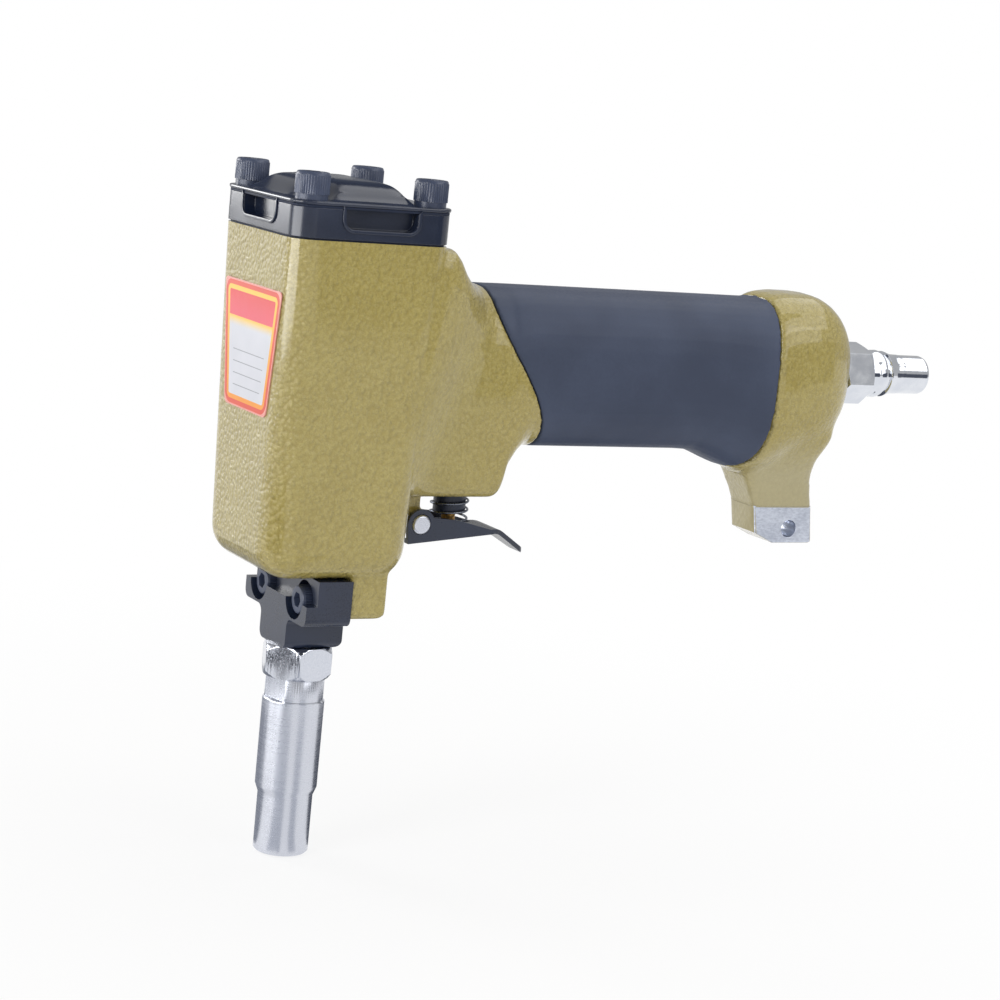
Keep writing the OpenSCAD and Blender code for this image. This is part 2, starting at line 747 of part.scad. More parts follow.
module lug_form() {
    cross_bar(pin_x, pin_z, lug_d, lug_w);
    translate([throat_start, -lug_w / 2, pin_z])
        cube([pin_x + lug_back - throat_start, lug_w, pin_drop + 2 * over]);
}

module body_outside() {
    difference() {
        union() {
            head_form();
            handle_form();
            tang_form();
            stub_form();
        }
        grip_zone(0);
    }
    handle_core(0);
    lug_form();
}

module body_inside() {
    post(0, 0, floor_z, seat_d, head_h);
    post(0, 0, floor_z + seat_h, chamber_d, head_h);
    post(0, 0, head_z - over, guide_d, floor_t + 2 * over);
    bar(0, 0, axis_z + passage_rise, passage_d, grip_front);
    bar(grip_front - grip_t, 0, axis_z, air_d, air_end - grip_front + grip_t);
    bar(air_end - over, 0, plug_z, plug_thread_d, plug_thread_len + 4 * over);
    post(valve_x, 0, valve_z - over, valve_d, valve_len + over);
    post(valve_x, 0, valve_z, feed_d, valve_drop);
    cross_bar(pin_x, pin_z, pin_d, lug_w + 2 * over);
    at_cap_screws()
        post(0, 0, screw_head_z - cap_screw_len - 2 * over, cap_screw_d, cap_screw_len);
    at_nose_screws()
        bar(ear_rear - over, 0, 0, nose_screw_d, nose_screw_len - pocket_floor - ear_rear + 2 * over);
    translate([valve_x - valve_d / 2, 0, valve_z + valve_len / 2])
        rotate([0, -atan2(valve_x - valve_d, cylinder_z - valve_z - valve_len / 2), 0])
            cylinder(d = pilot_d, h = cylinder_z - valve_z - valve_len / 2);
}

module tang_cuts() {
    for (side = [-1, 1])
        translate([tang_front - tang_flare, side * (tang_w / 2 + over / 2) - over / 2, foot_z - over])
            cube([tang_len + 2 * tang_flare, over, pad_h + over]);
    across(tang_w + 4 * over)
        polygon([[tang_front - over, foot_z - over],
            [tang_front + tang_len * tang_cut_shares[0], foot_z - over],
            [tang_front + tang_len * tang_cut_shares[1], foot_z],
            [tang_front - over, foot_z + tang_len * tang_cut_shares[2]]]);
    across(tang_w + 4 * over)
        polygon(concat(
            corner([tang_rear, axis_z], [tang_rear, foot_z], [tang_front, foot_z], foot_curl),
            [[tang_rear - foot_curl, foot_z - over], [tang_rear + over, foot_z - over],
                [tang_rear + over, foot_z + foot_curl]]));
    cross_bar(tang_rear - tang_hole_back, foot_z + tang_hole_rise, tang_hole_d, tang_w + 4 * over);
}

module body_casting() {
    color("#A89858")
        difference() {
            body_outside();
            body_inside();
            tang_cuts();
        }
}

module head_plan(lip) {
    half = head_w / 2 + lip;
    polygon(box_outline(-head_front - lip, head_rear + lip, -half, half, head_corner));
}

module cap_gasket() {
    color("#2A2A2A")
        difference() {
            translate([0, 0, top_z])
                linear_extrude(cap_gasket_t)
                    head_plan(-edge);
            post(0, 0, top_z - over, chamber_d, 3 * over);
            at_cap_screws()
                post(0, 0, top_z - over, cap_screw_d + 2 * screw_room, 3 * over);
        }
}

module slot_outline() {
    polygon(outline([[-slot_w / 2, seal_z + over, 0], [-slot_w / 2, seal_z - slot_h, slot_h / 2],
        [slot_w / 2, seal_z - slot_h, slot_h / 2], [slot_w / 2, seal_z + over, 0]]));
}

module cap_seat() {
    color("#1E2126")
        difference() {
            union() {
                translate([0, 0, cap_z])
                    linear_extrude(cap_h)
                        head_plan(0);
                post(0, 0, skirt_z, skirt_d, skirt_drop + over);
            }
            post(0, 0, skirt_z - over, skirt_bore, web_z - skirt_z + over);
            post(0, 0, web_z - over, exhaust_d, web_t + 2 * over);
            at_cap_screws()
                post(0, 0, cap_z - over, cap_screw_d + 2 * screw_room, cap_h + 2 * over);
            along(-head_front - over, slot_depth + over)
                slot_outline();
            along(head_rear - slot_depth, slot_depth + over)
                slot_outline();
            for (side = [-1, 1])
                translate([head_mid + slot_back, side * (head_w / 2 + over / 2 - slot_depth / 2), 0])
                    across(slot_depth + over)
                        slot_outline();
        }
}

// Plan of the raised pan, which leaves room around the cap screws
function pan_outline(inset) =
    let (r = washer_d / 2, rim = pan_rim + inset, room = r + edge + inset)
    let (a = head_l / 2 - rim, b = head_w / 2 - rim)
    let (c = cap_screw_w / 2 - room, d = cap_screw_l / 2 - room)
    outline([[d, -b, r / 2], [d, b, r / 2], [-d, b, r / 2], [-d, c, r],
        [-a, c, r / 2], [-a, -c, r / 2], [-d, -c, r], [-d, -b, r / 2]]);

module pan_form(inset, low, high) {
    base = pan_outline(inset);
    skin(concat([[for (p = base) [head_mid + p.x, p.y, low - over]]],
        [for (s = pan_shares) [for (p = base) [head_mid + p.x * s[0], p.y * s[0], mix(low, high, s[1])]]]));
}

module exhaust_gasket() {
    color("#2A2A2A")
        difference() {
            translate([0, 0, seal_z])
                linear_extrude(seal_plate_t)
                    head_plan(0);
            translate([head_mid, 0, seal_z - over])
                linear_extrude(seal_plate_t + 2 * over)
                    polygon(pan_outline(sheet_t));
            at_cap_screws()
                post(0, 0, seal_z - over, cap_screw_d + 2 * screw_room, 3 * over);
        }
}

module exhaust_deflector() {
    color("#16181C")
        difference() {
            union() {
                translate([0, 0, plate_z])
                    linear_extrude(sheet_t)
                        head_plan(plate_lip);
                difference() {
                    pan_form(0, washer_z, washer_z + pan_rise);
                    translate([-head_l, -head_w, plate_z - head_h])
                        cube([2 * head_l, 2 * head_w, head_h]);
                }
            }
            pan_form(sheet_t, plate_z, plate_z + pan_rise);
            at_cap_screws()
                post(0, 0, plate_z - over, cap_screw_d + 2 * screw_room, 3 * over);
        }
}

module cap_spring_washers() {
    color("#1A1A1C")
        at_cap_screws()
            translate([0, 0, washer_z])
                difference() {
                    cylinder(d = washer_d, h = washer_t);
                    translate([0, 0, -over])
                        cylinder(d = cap_screw_d + 2 * fit, h = washer_t + 2 * over);
                    translate([0, -edge / 2, -over])
                        cube([washer_d, edge, washer_t + 2 * over]);
                }
}

module socket_screw(d, head_d, length) {
    difference() {
        union() {
            rotate_extrude()
                polygon([[0, 0], [head_d / 2, 0], [head_d / 2, d - edge / 2],
                    [head_d / 2 - edge / 2, d], [0, d]]);
            translate([0, 0, -length])
                cylinder(d = d - 2 * run, h = length + over);
        }
        translate([0, 0, d / 2])
            hex(d * key_share, d);
    }
}

module cap_screws() {
    color("#141416")
        at_cap_screws()
            translate([0, 0, screw_head_z])
                socket_screw(cap_screw_d, cap_head_d, cap_screw_len);
}

module cylinder_sleeve() {
    color("#B9BCC0")
        difference() {
            union() {
                post(0, 0, floor_z, cylinder_d, cylinder_z - floor_z);
                post(0, 0, floor_z, seat_d - 2 * fit, seat_h - edge);
                post(0, 0, collar_z, chamber_d - 2 * fit, collar_h);
            }
            post(0, 0, floor_z - over, cylinder_bore, head_h);
            groove(seat_d, ring_d, floor_z + seat_h / 2);
            groove(chamber_d, ring_d, collar_z + collar_h / 2);
        }
}

module cylinder_orings() {
    color("#202020") {
        ring(seat_d / 2 - run - ring_d / 2, ring_d, floor_z + seat_h / 2);
        ring(chamber_d / 2 - run - ring_d / 2, ring_d, collar_z + collar_h / 2);
    }
}

module bumper() {
    color("#3A3A3A")
        tube(cylinder_bore - 2 * fit, driver_d + 2 * over, floor_z, bumper_h);
}

module driver_guide() {
    color("#B08D57")
        tube(guide_d - 2 * run, driver_d + 2 * fit, head_z, floor_t);
}

module piston() {
    color("#C8CACD")
        difference() {
            post(0, 0, piston_z, cylinder_bore - 2 * run, piston_h);
            groove(cylinder_bore, piston_ring_d, piston_z + piston_h / 2);
            post(0, 0, piston_z - over, driver_d + 2 * run, driver_seat + over);
        }
}

module piston_oring() {
    color("#202020")
        ring(cylinder_bore / 2 - run - piston_ring_d / 2, piston_ring_d, piston_z + piston_h / 2);
}

module driver_rod() {
    color("#8E9196")
        translate([0, 0, driver_tip])
            turned_pin(driver_d, driver_end - driver_tip);
}

module head_valve() {
    out_d = skirt_bore - 2 * run;
    color("#D8D4C8")
        difference() {
            post(0, 0, valve_seat_z, out_d, valve_top - valve_seat_z);
            post(0, 0, valve_seat_z - over, exhaust_d, head_h);
            tube(out_d - 2 * valve_rim_wall, rim_in_d, valve_seat_z + valve_disc_t, head_h);
            groove(skirt_bore, ring_d, skirt_z + edge + ring_d);
            tube(out_d + over, rim_in_d, valve_top - edge, head_h);
        }
}

module head_valve_oring() {
    color("#202020")
        ring(skirt_bore / 2 - run - ring_d / 2, ring_d, skirt_z + edge + ring_d);
}

module head_valve_spring() {
    color("#9EA2A8")
        coil(lid_mid, lid_wire, lid_turns, lid_foot, lid_top);
}

module exhaust_seal() {
    color("#303030")
        tube(rim_in_d, exhaust_d, exhaust_seal_z, exhaust_seal_t);
}

module grip_sleeve() {
    color("#3C424E")
        difference() {
            intersection() {
                handle_form();
                grip_zone(grip_gap);
            }
            handle_core(fit);
        }
}

// Plug's outline past the hex, as radius and distance
plug_profile = concat([[0, -over], [collar_d / 2 - edge, -over]],
    [for (q = plug_shares) [collar_d / 2 * q[1], collar_len * q[0]]],
    [[plug_d / 2, collar_len], [plug_d / 2, collar_len + plug_len - 2 * edge],
        [plug_d / 2 - edge / 2, collar_len + plug_len - edge / 2],
        [plug_d / 2 - 2 * edge, collar_len + plug_len], [0, collar_len + plug_len]]);

module air_plug() {
    color("#D6DADF")
        translate([plug_hex_x, 0, plug_z])
            rotate([0, 90, 0])
                difference() {
                    union() {
                        translate([0, 0, -plug_thread_len])
                            cylinder(d = plug_thread_d - 2 * run, h = plug_thread_len + over);
                        turned_hex(plug_flats, plug_hex_len, plug_turn, edge);
                        translate([0, 0, plug_hex_len])
                            rotate_extrude()
                                polygon(plug_profile);
                    }
                    translate([0, 0, -plug_thread_len - over])
                        cylinder(d = plug_bore, h = plug_end);
                }
}

module valve_body() {
    color("#26282C")
        translate([valve_x, 0, 0])
            difference() {
                union() {
                    post(0, 0, valve_z + valve_sink, valve_d - 2 * run, valve_len - 2 * valve_sink);
                    post(0, 0, boss_z, boss_d, boss_len + valve_sink + over);
                }
                post(0, 0, boss_z - over, stem_d + 2 * run, valve_len + boss_len);
                post(0, 0, valve_z + 2 * over, 2 * stem_d + 2 * fit, valve_len);
                for (share = valve_ring_shares)
                    groove(valve_d, ring_d, valve_z + valve_len * share);
            }
}

module valve_body_orings() {
    color("#202020")
        translate([valve_x, 0, 0])
            for (share = valve_ring_shares)
                ring(valve_d / 2 - run - ring_d / 2, ring_d, valve_z + valve_len * share);
}

module valve_stem() {
    ring_z = valve_z + valve_len * stem_ring_share;
    color("#C9B36A")
        translate([valve_x, 0, 0])
            difference() {
                union() {
                    translate([0, 0, stem_z + stem_d / 2])
                        sphere(d = stem_d);
                    post(0, 0, stem_z + stem_d / 2, stem_d, ring_z - stem_z);
                    post(0, 0, ring_z - ring_d, 2 * stem_d - 2 * run, 2 * ring_d);
                }
                tube(2 * stem_d + over, 2 * stem_d - 2 * ring_d,
                    ring_z - ring_d / 2 - ring_room / 2, ring_d + ring_room);
            }
}

module valve_stem_oring() {
    color("#202020")
        translate([valve_x, 0, 0])
            ring(stem_d - ring_d / 2 + run / 2, ring_d - run, valve_z + valve_len * stem_ring_share);
}

module trigger_spring() {
    color("#B4B8BE")
        translate([valve_x, 0, 0])
            coil(spring_mid, spring_wire, spring_turns, spring_foot, spring_top);
}

// Underside of the trigger's sheet, from the front to the tongue's tip
function tongue_line(a, r) = [tongue_start + r * sin(a), r * (cos(a) - 1)];
function trigger_line(r) =
    concat([[-trigger_round, 0]],
        [for (i = [0:corner_steps]) tongue_line(tongue_angle * i / corner_steps, r)],
        [tongue_line(tongue_angle, r) + tongue_len * [cos(tongue_angle), -sin(tongue_angle)]]);

trigger_under = trigger_line(tongue_r);
trigger_over = trigger_line(tongue_r + trigger_t);
trigger_last = len(trigger_over) - 1;
trigger_sheet = concat([for (p = trigger_under) p - [0, trigger_drop]],
    [for (i = [0:trigger_last]) trigger_over[trigger_last - i] + [0, trigger_t - trigger_drop]]);

// Side view of the plates, with a round eye at the pin
module trigger_plate() {
    circle(r = trigger_round);
    polygon(outline([[-trigger_round, -trigger_drop, trigger_t], [trigger_reach, -trigger_drop, 0],
        [trigger_reach, trigger_t - trigger_drop, 0], [plate_knee, 0, trigger_reach],
        [0, plate_hip, 0], [-trigger_round, 0, 0]]));
}

// Plan of the trigger, narrower towards the tongue's tip
module trigger_plan() {
    half = trigger_w / 2;
    translate([0, 0, -2 * trigger_reach])
        linear_extrude(4 * trigger_reach)
            polygon(outline([[-2 * trigger_round, -half, 0], [trigger_reach, -half, 0],
                [tongue_end, -tongue_w / 2, tongue_w / 3], [tongue_end, tongue_w / 2, tongue_w / 3],
                [trigger_reach, half, 0], [-2 * trigger_round, half, 0]]));
}

// Room between the trigger's plates, and the slot in its sheet around the lug
module trigger_hollow() {
    translate([-2 * trigger_round, -trigger_in / 2, trigger_t / 2 - trigger_drop])
        cube([2 * trigger_reach, trigger_in, trigger_reach]);
}

module trigger_slot() {
    translate([-2 * trigger_round, -lug_w / 2 - edge, -trigger_drop - over])
        cube([2 * trigger_round + lug_d / 2 + 2 * edge, lug_w + 2 * edge, trigger_drop]);
}

module trigger() {
    color("#222428")
        translate([pin_x, 0, pin_z])
            rotate([0, -trigger_slope, 0])
                difference() {
                    union() {
                        intersection() {
                            across(trigger_w)
                                polygon(trigger_sheet);
                            trigger_plan();
                        }
                        difference() {
                            across(trigger_w)
                                trigger_plate();
                            trigger_hollow();
                        }
                    }
                    trigger_slot();
                    cross_bar(0, 0, pin_d + 2 * run, trigger_w + 2 * over);
                }
}

module trigger_pin() {
    color("#D9DCE0")
        translate([pin_x, (trigger_w + 2 * edge) / 2, pin_z])
            rotate([90, 0, 0])
                turned_pin(pin_d - run, trigger_w + 2 * edge);
}

module nose_block() {
    ear_z = head_z - ear_h;
    front = [for (side = [-1, 1])
        [[side * ear_w / 2, head_z, 0], [side * ear_w / 2, ear_z, block_round],
            [side * pillar_w / 2, ear_z, block_round], [side * pillar_w / 2, block_z, block_round]]];
    color("#1C1E22")
        difference() {
            union() {
                along(-pillar_front, pillar_front + ear_rear)
                    polygon(outline(concat(front[0], [for (i = [0:3]) front[1][3 - i]])));
                intersection() {
                    along(0, pillar_rear)
                        polygon(outline(concat([for (side = [-1, 1]) [side * pillar_w / 2, block_z, block_round]],
                            [for (side = [1, -1]) [side * pillar_w / 2, stub_z, 0]])));
                    across(ear_w)
                        polygon(outline([[0, block_z, 0], [pillar_rear, block_z, block_round],
                            [pillar_rear, stub_z, 0], [0, stub_z, 0]]));
                }
            }
            translate([-pillar_front - over, -ear_w, head_z - ledge_h])
                cube([pillar_front + over - ledge_front, 2 * ear_w, ledge_h + over]);
            post(0, 0, block_z - over, thread_d + 2 * fit, thread_hold + over);
            post(0, 0, block_z, driver_bore, block_h + over);
            at_nose_screws() {
                bar(-pillar_front - over, 0, 0, pocket_d, pillar_front + over - pocket_floor);
                bar(-pillar_front, 0, 0, nose_screw_d + 2 * fit, pillar_front + pillar_rear);
            }
        }
}

module nose_screws() {
    color("#141416")
        at_nose_screws()
            translate([-pocket_floor, 0, 0])
                rotate([0, -90, 0])
                    socket_screw(nose_screw_d, nose_head_d, nose_screw_len);
}

module lock_nut() {
    color("#CDD1D6")
        translate([0, 0, nut_z])
            difference() {
                turned_hex(nut_flats, nut_h, nut_turn, nut_bevel);
                translate([0, 0, -over])
                    cylinder(d = thread_d + 2 * fit, h = nut_h + 2 * over);
            }
}

module barrel() {
    color("#C2C5C9")
        difference() {
            rotate_extrude()
                polygon([[0, 0], [tip_d / 2 - edge, 0], [tip_d / 2, edge], [tip_d / 2, shoulder_z],
                    [sleeve_d / 2, sleeve_z], [sleeve_d / 2, neck_z - edge], [sleeve_d / 2 - edge, neck_z],
                    [neck_d / 2, neck_z], [neck_d / 2, nut_z], [thread_d / 2, nut_z],
                    [thread_d / 2, barrel_top - edge], [thread_d / 2 - edge, barrel_top], [0, barrel_top]]);
            rotate([0, 0, flats_turn])
                for (side = [-1, 1])
                    translate([side * (neck_flats + neck_d) / 2 - neck_d / 2, -neck_d, neck_z])
                        cube([neck_d, 2 * neck_d, neck_len]);
            post(0, 0, -over, recess_d, recess_len + over);
            post(0, 0, 0, magnet_d + 2 * run, recess_len + magnet_len);
            post(0, 0, 0, driver_bore, barrel_top + over);
        }
}

module nail_magnet() {
    color("#8A8D92")
        tube(magnet_d, magnet_bore, recess_len + stop_gap, magnet_len - stop_gap);
}

module front_label() {
    color("#E8E4DA")
        translate([-head_front + front_inset * label_drop / head_h - run, 0, top_z - label_drop])
            rotate([0, -atan2(front_inset, head_h), 0])
                translate([-label_t, -label_shift, 0])
                    along(0, label_t)
                        polygon(outline([[-label_top_w / 2, 0, 2 * edge],
                            [-label_foot_w / 2, -label_h, 4 * edge],
                            [label_foot_w / 2, -label_h, 4 * edge], [label_top_w / 2, 0, 2 * edge]]));
}

body_casting();
cap_gasket();
cap_seat();
exhaust_gasket();
exhaust_deflector();
cap_spring_washers();
cap_screws();
cylinder_sleeve();
cylinder_orings();
bumper();
driver_guide();
piston();
piston_oring();
driver_rod();
head_valve();
head_valve_oring();
head_valve_spring();
exhaust_seal();
grip_sleeve();
air_plug();
valve_body();
valve_body_orings();
valve_stem();
valve_stem_oring();
trigger_spring();
trigger();
trigger_pin();
nose_block();
nose_screws();
lock_nut();
barrel();
nail_magnet();
front_label();
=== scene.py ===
import json
import math

import bmesh
import bpy
from mathutils import Matrix, Vector


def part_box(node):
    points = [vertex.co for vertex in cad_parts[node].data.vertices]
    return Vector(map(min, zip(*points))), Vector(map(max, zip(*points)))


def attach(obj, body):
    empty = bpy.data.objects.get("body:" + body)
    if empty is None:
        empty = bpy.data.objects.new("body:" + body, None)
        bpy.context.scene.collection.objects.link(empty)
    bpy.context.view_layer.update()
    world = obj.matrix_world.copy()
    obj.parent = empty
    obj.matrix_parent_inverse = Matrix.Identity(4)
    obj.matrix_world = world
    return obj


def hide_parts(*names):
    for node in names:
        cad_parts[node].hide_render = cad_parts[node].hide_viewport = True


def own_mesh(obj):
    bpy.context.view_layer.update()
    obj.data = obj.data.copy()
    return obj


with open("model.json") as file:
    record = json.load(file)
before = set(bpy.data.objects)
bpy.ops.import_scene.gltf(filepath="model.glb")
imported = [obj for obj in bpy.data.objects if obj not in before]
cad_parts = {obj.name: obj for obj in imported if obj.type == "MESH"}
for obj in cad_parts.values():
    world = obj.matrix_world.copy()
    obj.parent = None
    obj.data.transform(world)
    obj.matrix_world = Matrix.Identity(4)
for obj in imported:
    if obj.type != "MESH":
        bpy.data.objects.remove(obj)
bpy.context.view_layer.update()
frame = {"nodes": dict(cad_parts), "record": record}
scene = bpy.context.scene
mm = 0.001
upAxis, endAxis = Vector((0, 0, 1)), Vector((1, 0, 0))


class Wire:  # a shader value that takes part in plain sums
    def __init__(self, finish, socket):
        self.finish, self.socket = finish, socket

    def sum(self, operation, first, second):
        return self.finish.sum(operation, first, second)

    def __add__(self, other):
        return self.sum("ADD", self, other)

    def __radd__(self, other):
        return self.sum("ADD", other, self)

    def __sub__(self, other):
        return self.sum("SUBTRACT", self, other)

    def __rsub__(self, other):
        return self.sum("SUBTRACT", other, self)

    def __mul__(self, other):
        return self.sum("MULTIPLY", self, other)

    def __rmul__(self, other):
        return self.sum("MULTIPLY", other, self)

    def __truediv__(self, other):
        return self.sum("DIVIDE", self, other)

    def __rtruediv__(self, other):
        return self.sum("DIVIDE", other, self)

    def __pow__(self, other):
        return self.sum("POWER", self, other)

    def __lt__(self, other):
        return self.sum("LESS_THAN", self, other)

    def __gt__(self, other):
        return self.sum("GREATER_THAN", self, other)

    def __abs__(self):
        return self.sum("ABSOLUTE", self, 0.0)


class Finish:  # one material and the nodes behind it
    def __init__(self, name, constants):
        self.material = bpy.data.materials.new(name)
        self.material.use_nodes = True
        self.tree = self.material.node_tree
        self.shader = self.tree.nodes["Principled BSDF"]
        for socketName, value in constants.items():
            self.shader.inputs[socketName].default_value = value
        self.spot = self.node("ShaderNodeTexCoord", {}, {}, "Object")

    def feed(self, socket, value):
        if isinstance(value, Wire):
            self.tree.links.new(value.socket, socket)
        else:
            socket.default_value = value

    def node(self, kind, settings, inputs, out=0):
        made = self.tree.nodes.new(kind)
        for key, value in settings.items():
            setattr(made, key, value)
        for key, value in inputs.items():
            self.feed(made.inputs[key], value)
        return Wire(self, made.outputs[out])

    def look(self, socketName, value):
        self.feed(self.shader.inputs[socketName], value)

    def sum(self, operation, first, second):
        return self.node("ShaderNodeMath", {"operation": operation}, {0: first, 1: second})

    def stretched(self, scale):  # object coordinates, drawn out along an axis
        return self.node("ShaderNodeMapping", {}, {"Vector": self.spot, "Scale": scale})

    def noise(self, size, detail=2.0, rough=0.5, at=None):
        return self.node("ShaderNodeTexNoise", {},
                         {"Vector": at or self.spot, "Scale": 1 / size, "Detail": detail, "Roughness": rough})

    def cells(self, size, smooth=0.6):
        return self.node("ShaderNodeTexVoronoi", {"feature": "SMOOTH_F1"},
                         {"Vector": self.spot, "Scale": 1 / size, "Smoothness": smooth}, "Distance")

    def fade(self, value, low, high, start=0.0, end=1.0):
        return self.node("ShaderNodeMapRange", {"interpolation_type": "SMOOTHSTEP"},
                         {"Value": value, "From Min": low, "From Max": high, "To Min": start, "To Max": end})

    def tint(self, share, first, second):
        return self.node("ShaderNodeMix", {"data_type": "RGBA"}, {0: share, 6: first, 7: second}, 2)

    def axes(self):
        split = self.tree.nodes.new("ShaderNodeSeparateXYZ")
        self.tree.links.new(self.spot.socket, split.inputs[0])
        return [Wire(self, socket) for socket in split.outputs]

    def relief(self, height, depth, strength=1.0):
        self.look("Normal", self.node("ShaderNodeBump", {},
                                      {"Strength": strength, "Distance": depth, "Height": height}, "Normal"))


def paint(red, green, blue):  # screen colour to the linear one of a shader
    return tuple(((c / 255 + 0.055) / 1.055) ** 2.4 if c > 10 else c / 255 / 12.92
                 for c in (red, green, blue)) + (1.0,)


# camera at the photographed angle
cameraSet = {
    "lens": 97.3956, "sensor": 36.0, "place": (-0.326378, -0.688804, 0.238092),
    "right": (0.87513873, -0.47358553, 0.09924186), "down": (0.00608567, -0.19431051, -0.9809212),
    "forward": (0.48383382, 0.85904608, -0.16716656),
}
lensData = bpy.data.cameras.new("photoCamera")
lensData.lens, lensData.sensor_width = cameraSet["lens"], cameraSet["sensor"]
camera = bpy.data.objects.new("photoCamera", lensData)
turn = Matrix((cameraSet["right"], -Vector(cameraSet["down"]), -Vector(cameraSet["forward"]))).transposed()
camera.matrix_world = Matrix.Translation(cameraSet["place"]) @ turn.to_4x4()
scene.collection.objects.link(camera)
scene.camera = camera
print("camera placed")


# distances in metres: doubles of a solid, slivers of a round, points on a cut
weldSet = {"join": 1e-6, "sliver": 3e-6, "cut": 1e-7, "flatDegrees": 0.6}


def cadCopy(node):  # a node's triangles, joined into one skin
    bm = bmesh.new()
    bm.from_mesh(frame["nodes"][node].data)
    bmesh.ops.remove_doubles(bm, verts=bm.verts[:], dist=weldSet["join"])
    return bm


def tighten(bm):  # takes out the slivers that a bevel leaves where it meets itself
    bmesh.ops.remove_doubles(bm, verts=bm.verts[:], dist=weldSet["sliver"])
    bmesh.ops.dissolve_degenerate(bm, edges=bm.edges[:], dist=weldSet["sliver"])


def roundOff(bm, width, steps, sharp):  # a small round on each edge above an angle in degrees
    limit = math.radians(sharp)
    edges = [e for e in bm.edges if len(e.link_faces) == 2 and e.calc_face_angle(0) > limit]
    bmesh.ops.bevel(bm, geom=edges, offset=width, offset_type="OFFSET", segments=steps, profile=0.5,
                    affect="EDGES", material=-1, clamp_overlap=True)
    tighten(bm)


def softEdges(bm, width, steps=2, sharp=32):  # flat faces in one, then the round; no width leaves the skin
    if not width:
        return
    flat = math.radians(weldSet["flatDegrees"])
    bmesh.ops.dissolve_limit(bm, angle_limit=flat, verts=bm.verts[:], edges=bm.edges[:])
    roundOff(bm, width, steps, sharp)


def cutOff(bm, geom, spot, away):  # removes what lies beyond a plane, gives the edges of the cut
    cut = bmesh.ops.bisect_plane(bm, geom=geom, dist=weldSet["cut"], plane_co=spot, plane_no=away,
                                 clear_outer=True)
    return [e for e in cut["geom_cut"] if isinstance(e, bmesh.types.BMEdge)]


def evenOut(bm, verts, rounds):  # smooths a stretch of skin
    for step in range(rounds):
        bmesh.ops.smooth_vert(bm, verts=verts, factor=0.5, use_axis_x=True, use_axis_y=True, use_axis_z=True)


def meshOf(bm, name):
    mesh = bpy.data.meshes.new(name)
    bm.to_mesh(mesh)
    bm.free()
    return mesh


def addTo(whole, bm):  # one form more in a mesh of several
    single = meshOf(bm, "single")
    whole.from_mesh(single)
    bpy.data.meshes.remove(single)


def settle(name, mesh, body, finishes, nodes=(), crease=35, weighted=False):
    for finish in finishes:
        mesh.materials.append(finish.material)
    mesh.polygons.foreach_set("use_smooth", [True] * len(mesh.polygons))
    mesh.set_sharp_from_angle(angle=math.radians(crease))
    piece = bpy.data.objects.new(name, mesh)
    scene.collection.objects.link(piece)
    if weighted:
        normals = piece.modifiers.new("faceNormals", "WEIGHTED_NORMAL")
        normals.keep_sharp = True
    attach(piece, body)
    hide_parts(*nodes)
    print(name, "has", len(mesh.polygons), "faces")
    return piece


def cast(bm, name, grain, rounds, share):  # a casting's soft edges: fine skin, smoothed, then thinned
    mesh = meshOf(bm, name)
    rough = bpy.data.objects.new(name, mesh)
    scene.collection.objects.link(rough)
    skin = rough.modifiers.new("skin", "REMESH")
    skin.mode, skin.voxel_size = "VOXEL", grain
    calm = rough.modifiers.new("calm", "SMOOTH")
    calm.factor, calm.iterations = 0.5, rounds
    thin = rough.modifiers.new("thin", "DECIMATE")
    thin.ratio = share
    bpy.context.view_layer.update()
    made = bpy.data.meshes.new_from_object(rough.evaluated_get(bpy.context.evaluated_depsgraph_get()))
    bpy.data.objects.remove(rough)
    made.name = name
    made.materials.clear()
    return made


# gold hammered paint of the cast body, paler, greyer and smoother towards the tang
goldSet = {
    # deep is the darker gold of the random specks and of the painted shade in the hammered hollows
    "base": paint(172, 156, 83), "deep": paint(152, 134, 60), "pale": paint(187, 172, 101),
    "tangPaling": paint(180, 172, 142), "pebble": 1.2 * mm, "wander": 2.4 * mm, "speck": 0.4 * mm, "patch": 22 * mm,
    "depth": 0.8 * mm, "rough": 0.38, "mottleAndShade": 0.55, "tangPalingShare": 0.6, "tangSmoothing": 0.75,
    "tangPalingX": (134 * mm, 148 * mm), "tangPalingZ": (130 * mm, 112 * mm),
}
goldPaint = Finish("goldPaint", {"Coat Weight": 1.0, "Coat Roughness": 0.09, "Specular IOR Level": 0.35})
goldX, goldZ = goldPaint.axes()[::2]
# towards the tang the gold turns paler and greyer and its hammered relief flattens
tangPaling = goldPaint.fade(goldX, *goldSet["tangPalingX"]) * goldPaint.fade(goldZ, *goldSet["tangPalingZ"])
wander = goldPaint.noise(goldSet["wander"], 2.0)
pebbles = goldPaint.cells(goldSet["pebble"], 0.7)
specks = goldPaint.noise(goldSet["speck"], 3.0, 0.6)
patches = goldPaint.noise(goldSet["patch"])
# the hammered hollows between the pebbles are painted darker than their crests, a painted shade, mixed with
# random specks and patches of tone
mottleAndShadeShare = goldPaint.fade(specks + 0.4 * patches - 0.5 * pebbles, 0.2, 0.75)
mottledAndShaded = goldPaint.tint(mottleAndShadeShare, goldSet["deep"], goldSet["pale"])
goldTone = goldPaint.tint(goldSet["mottleAndShade"], goldSet["base"], mottledAndShaded)
goldPaint.look("Base Color", goldPaint.tint(goldSet["tangPalingShare"] * tangPaling, goldTone, goldSet["tangPaling"]))
goldPaint.look("Roughness", goldPaint.fade(specks, 0.3, 0.7, goldSet["rough"] - 0.06, goldSet["rough"] + 0.1))
hammered = (1.0 - pebbles) * (0.6 + 0.8 * wander) * (1.0 - goldSet["tangSmoothing"] * tangPaling)
goldPaint.relief(hammered + 0.1 * specks, goldSet["depth"])

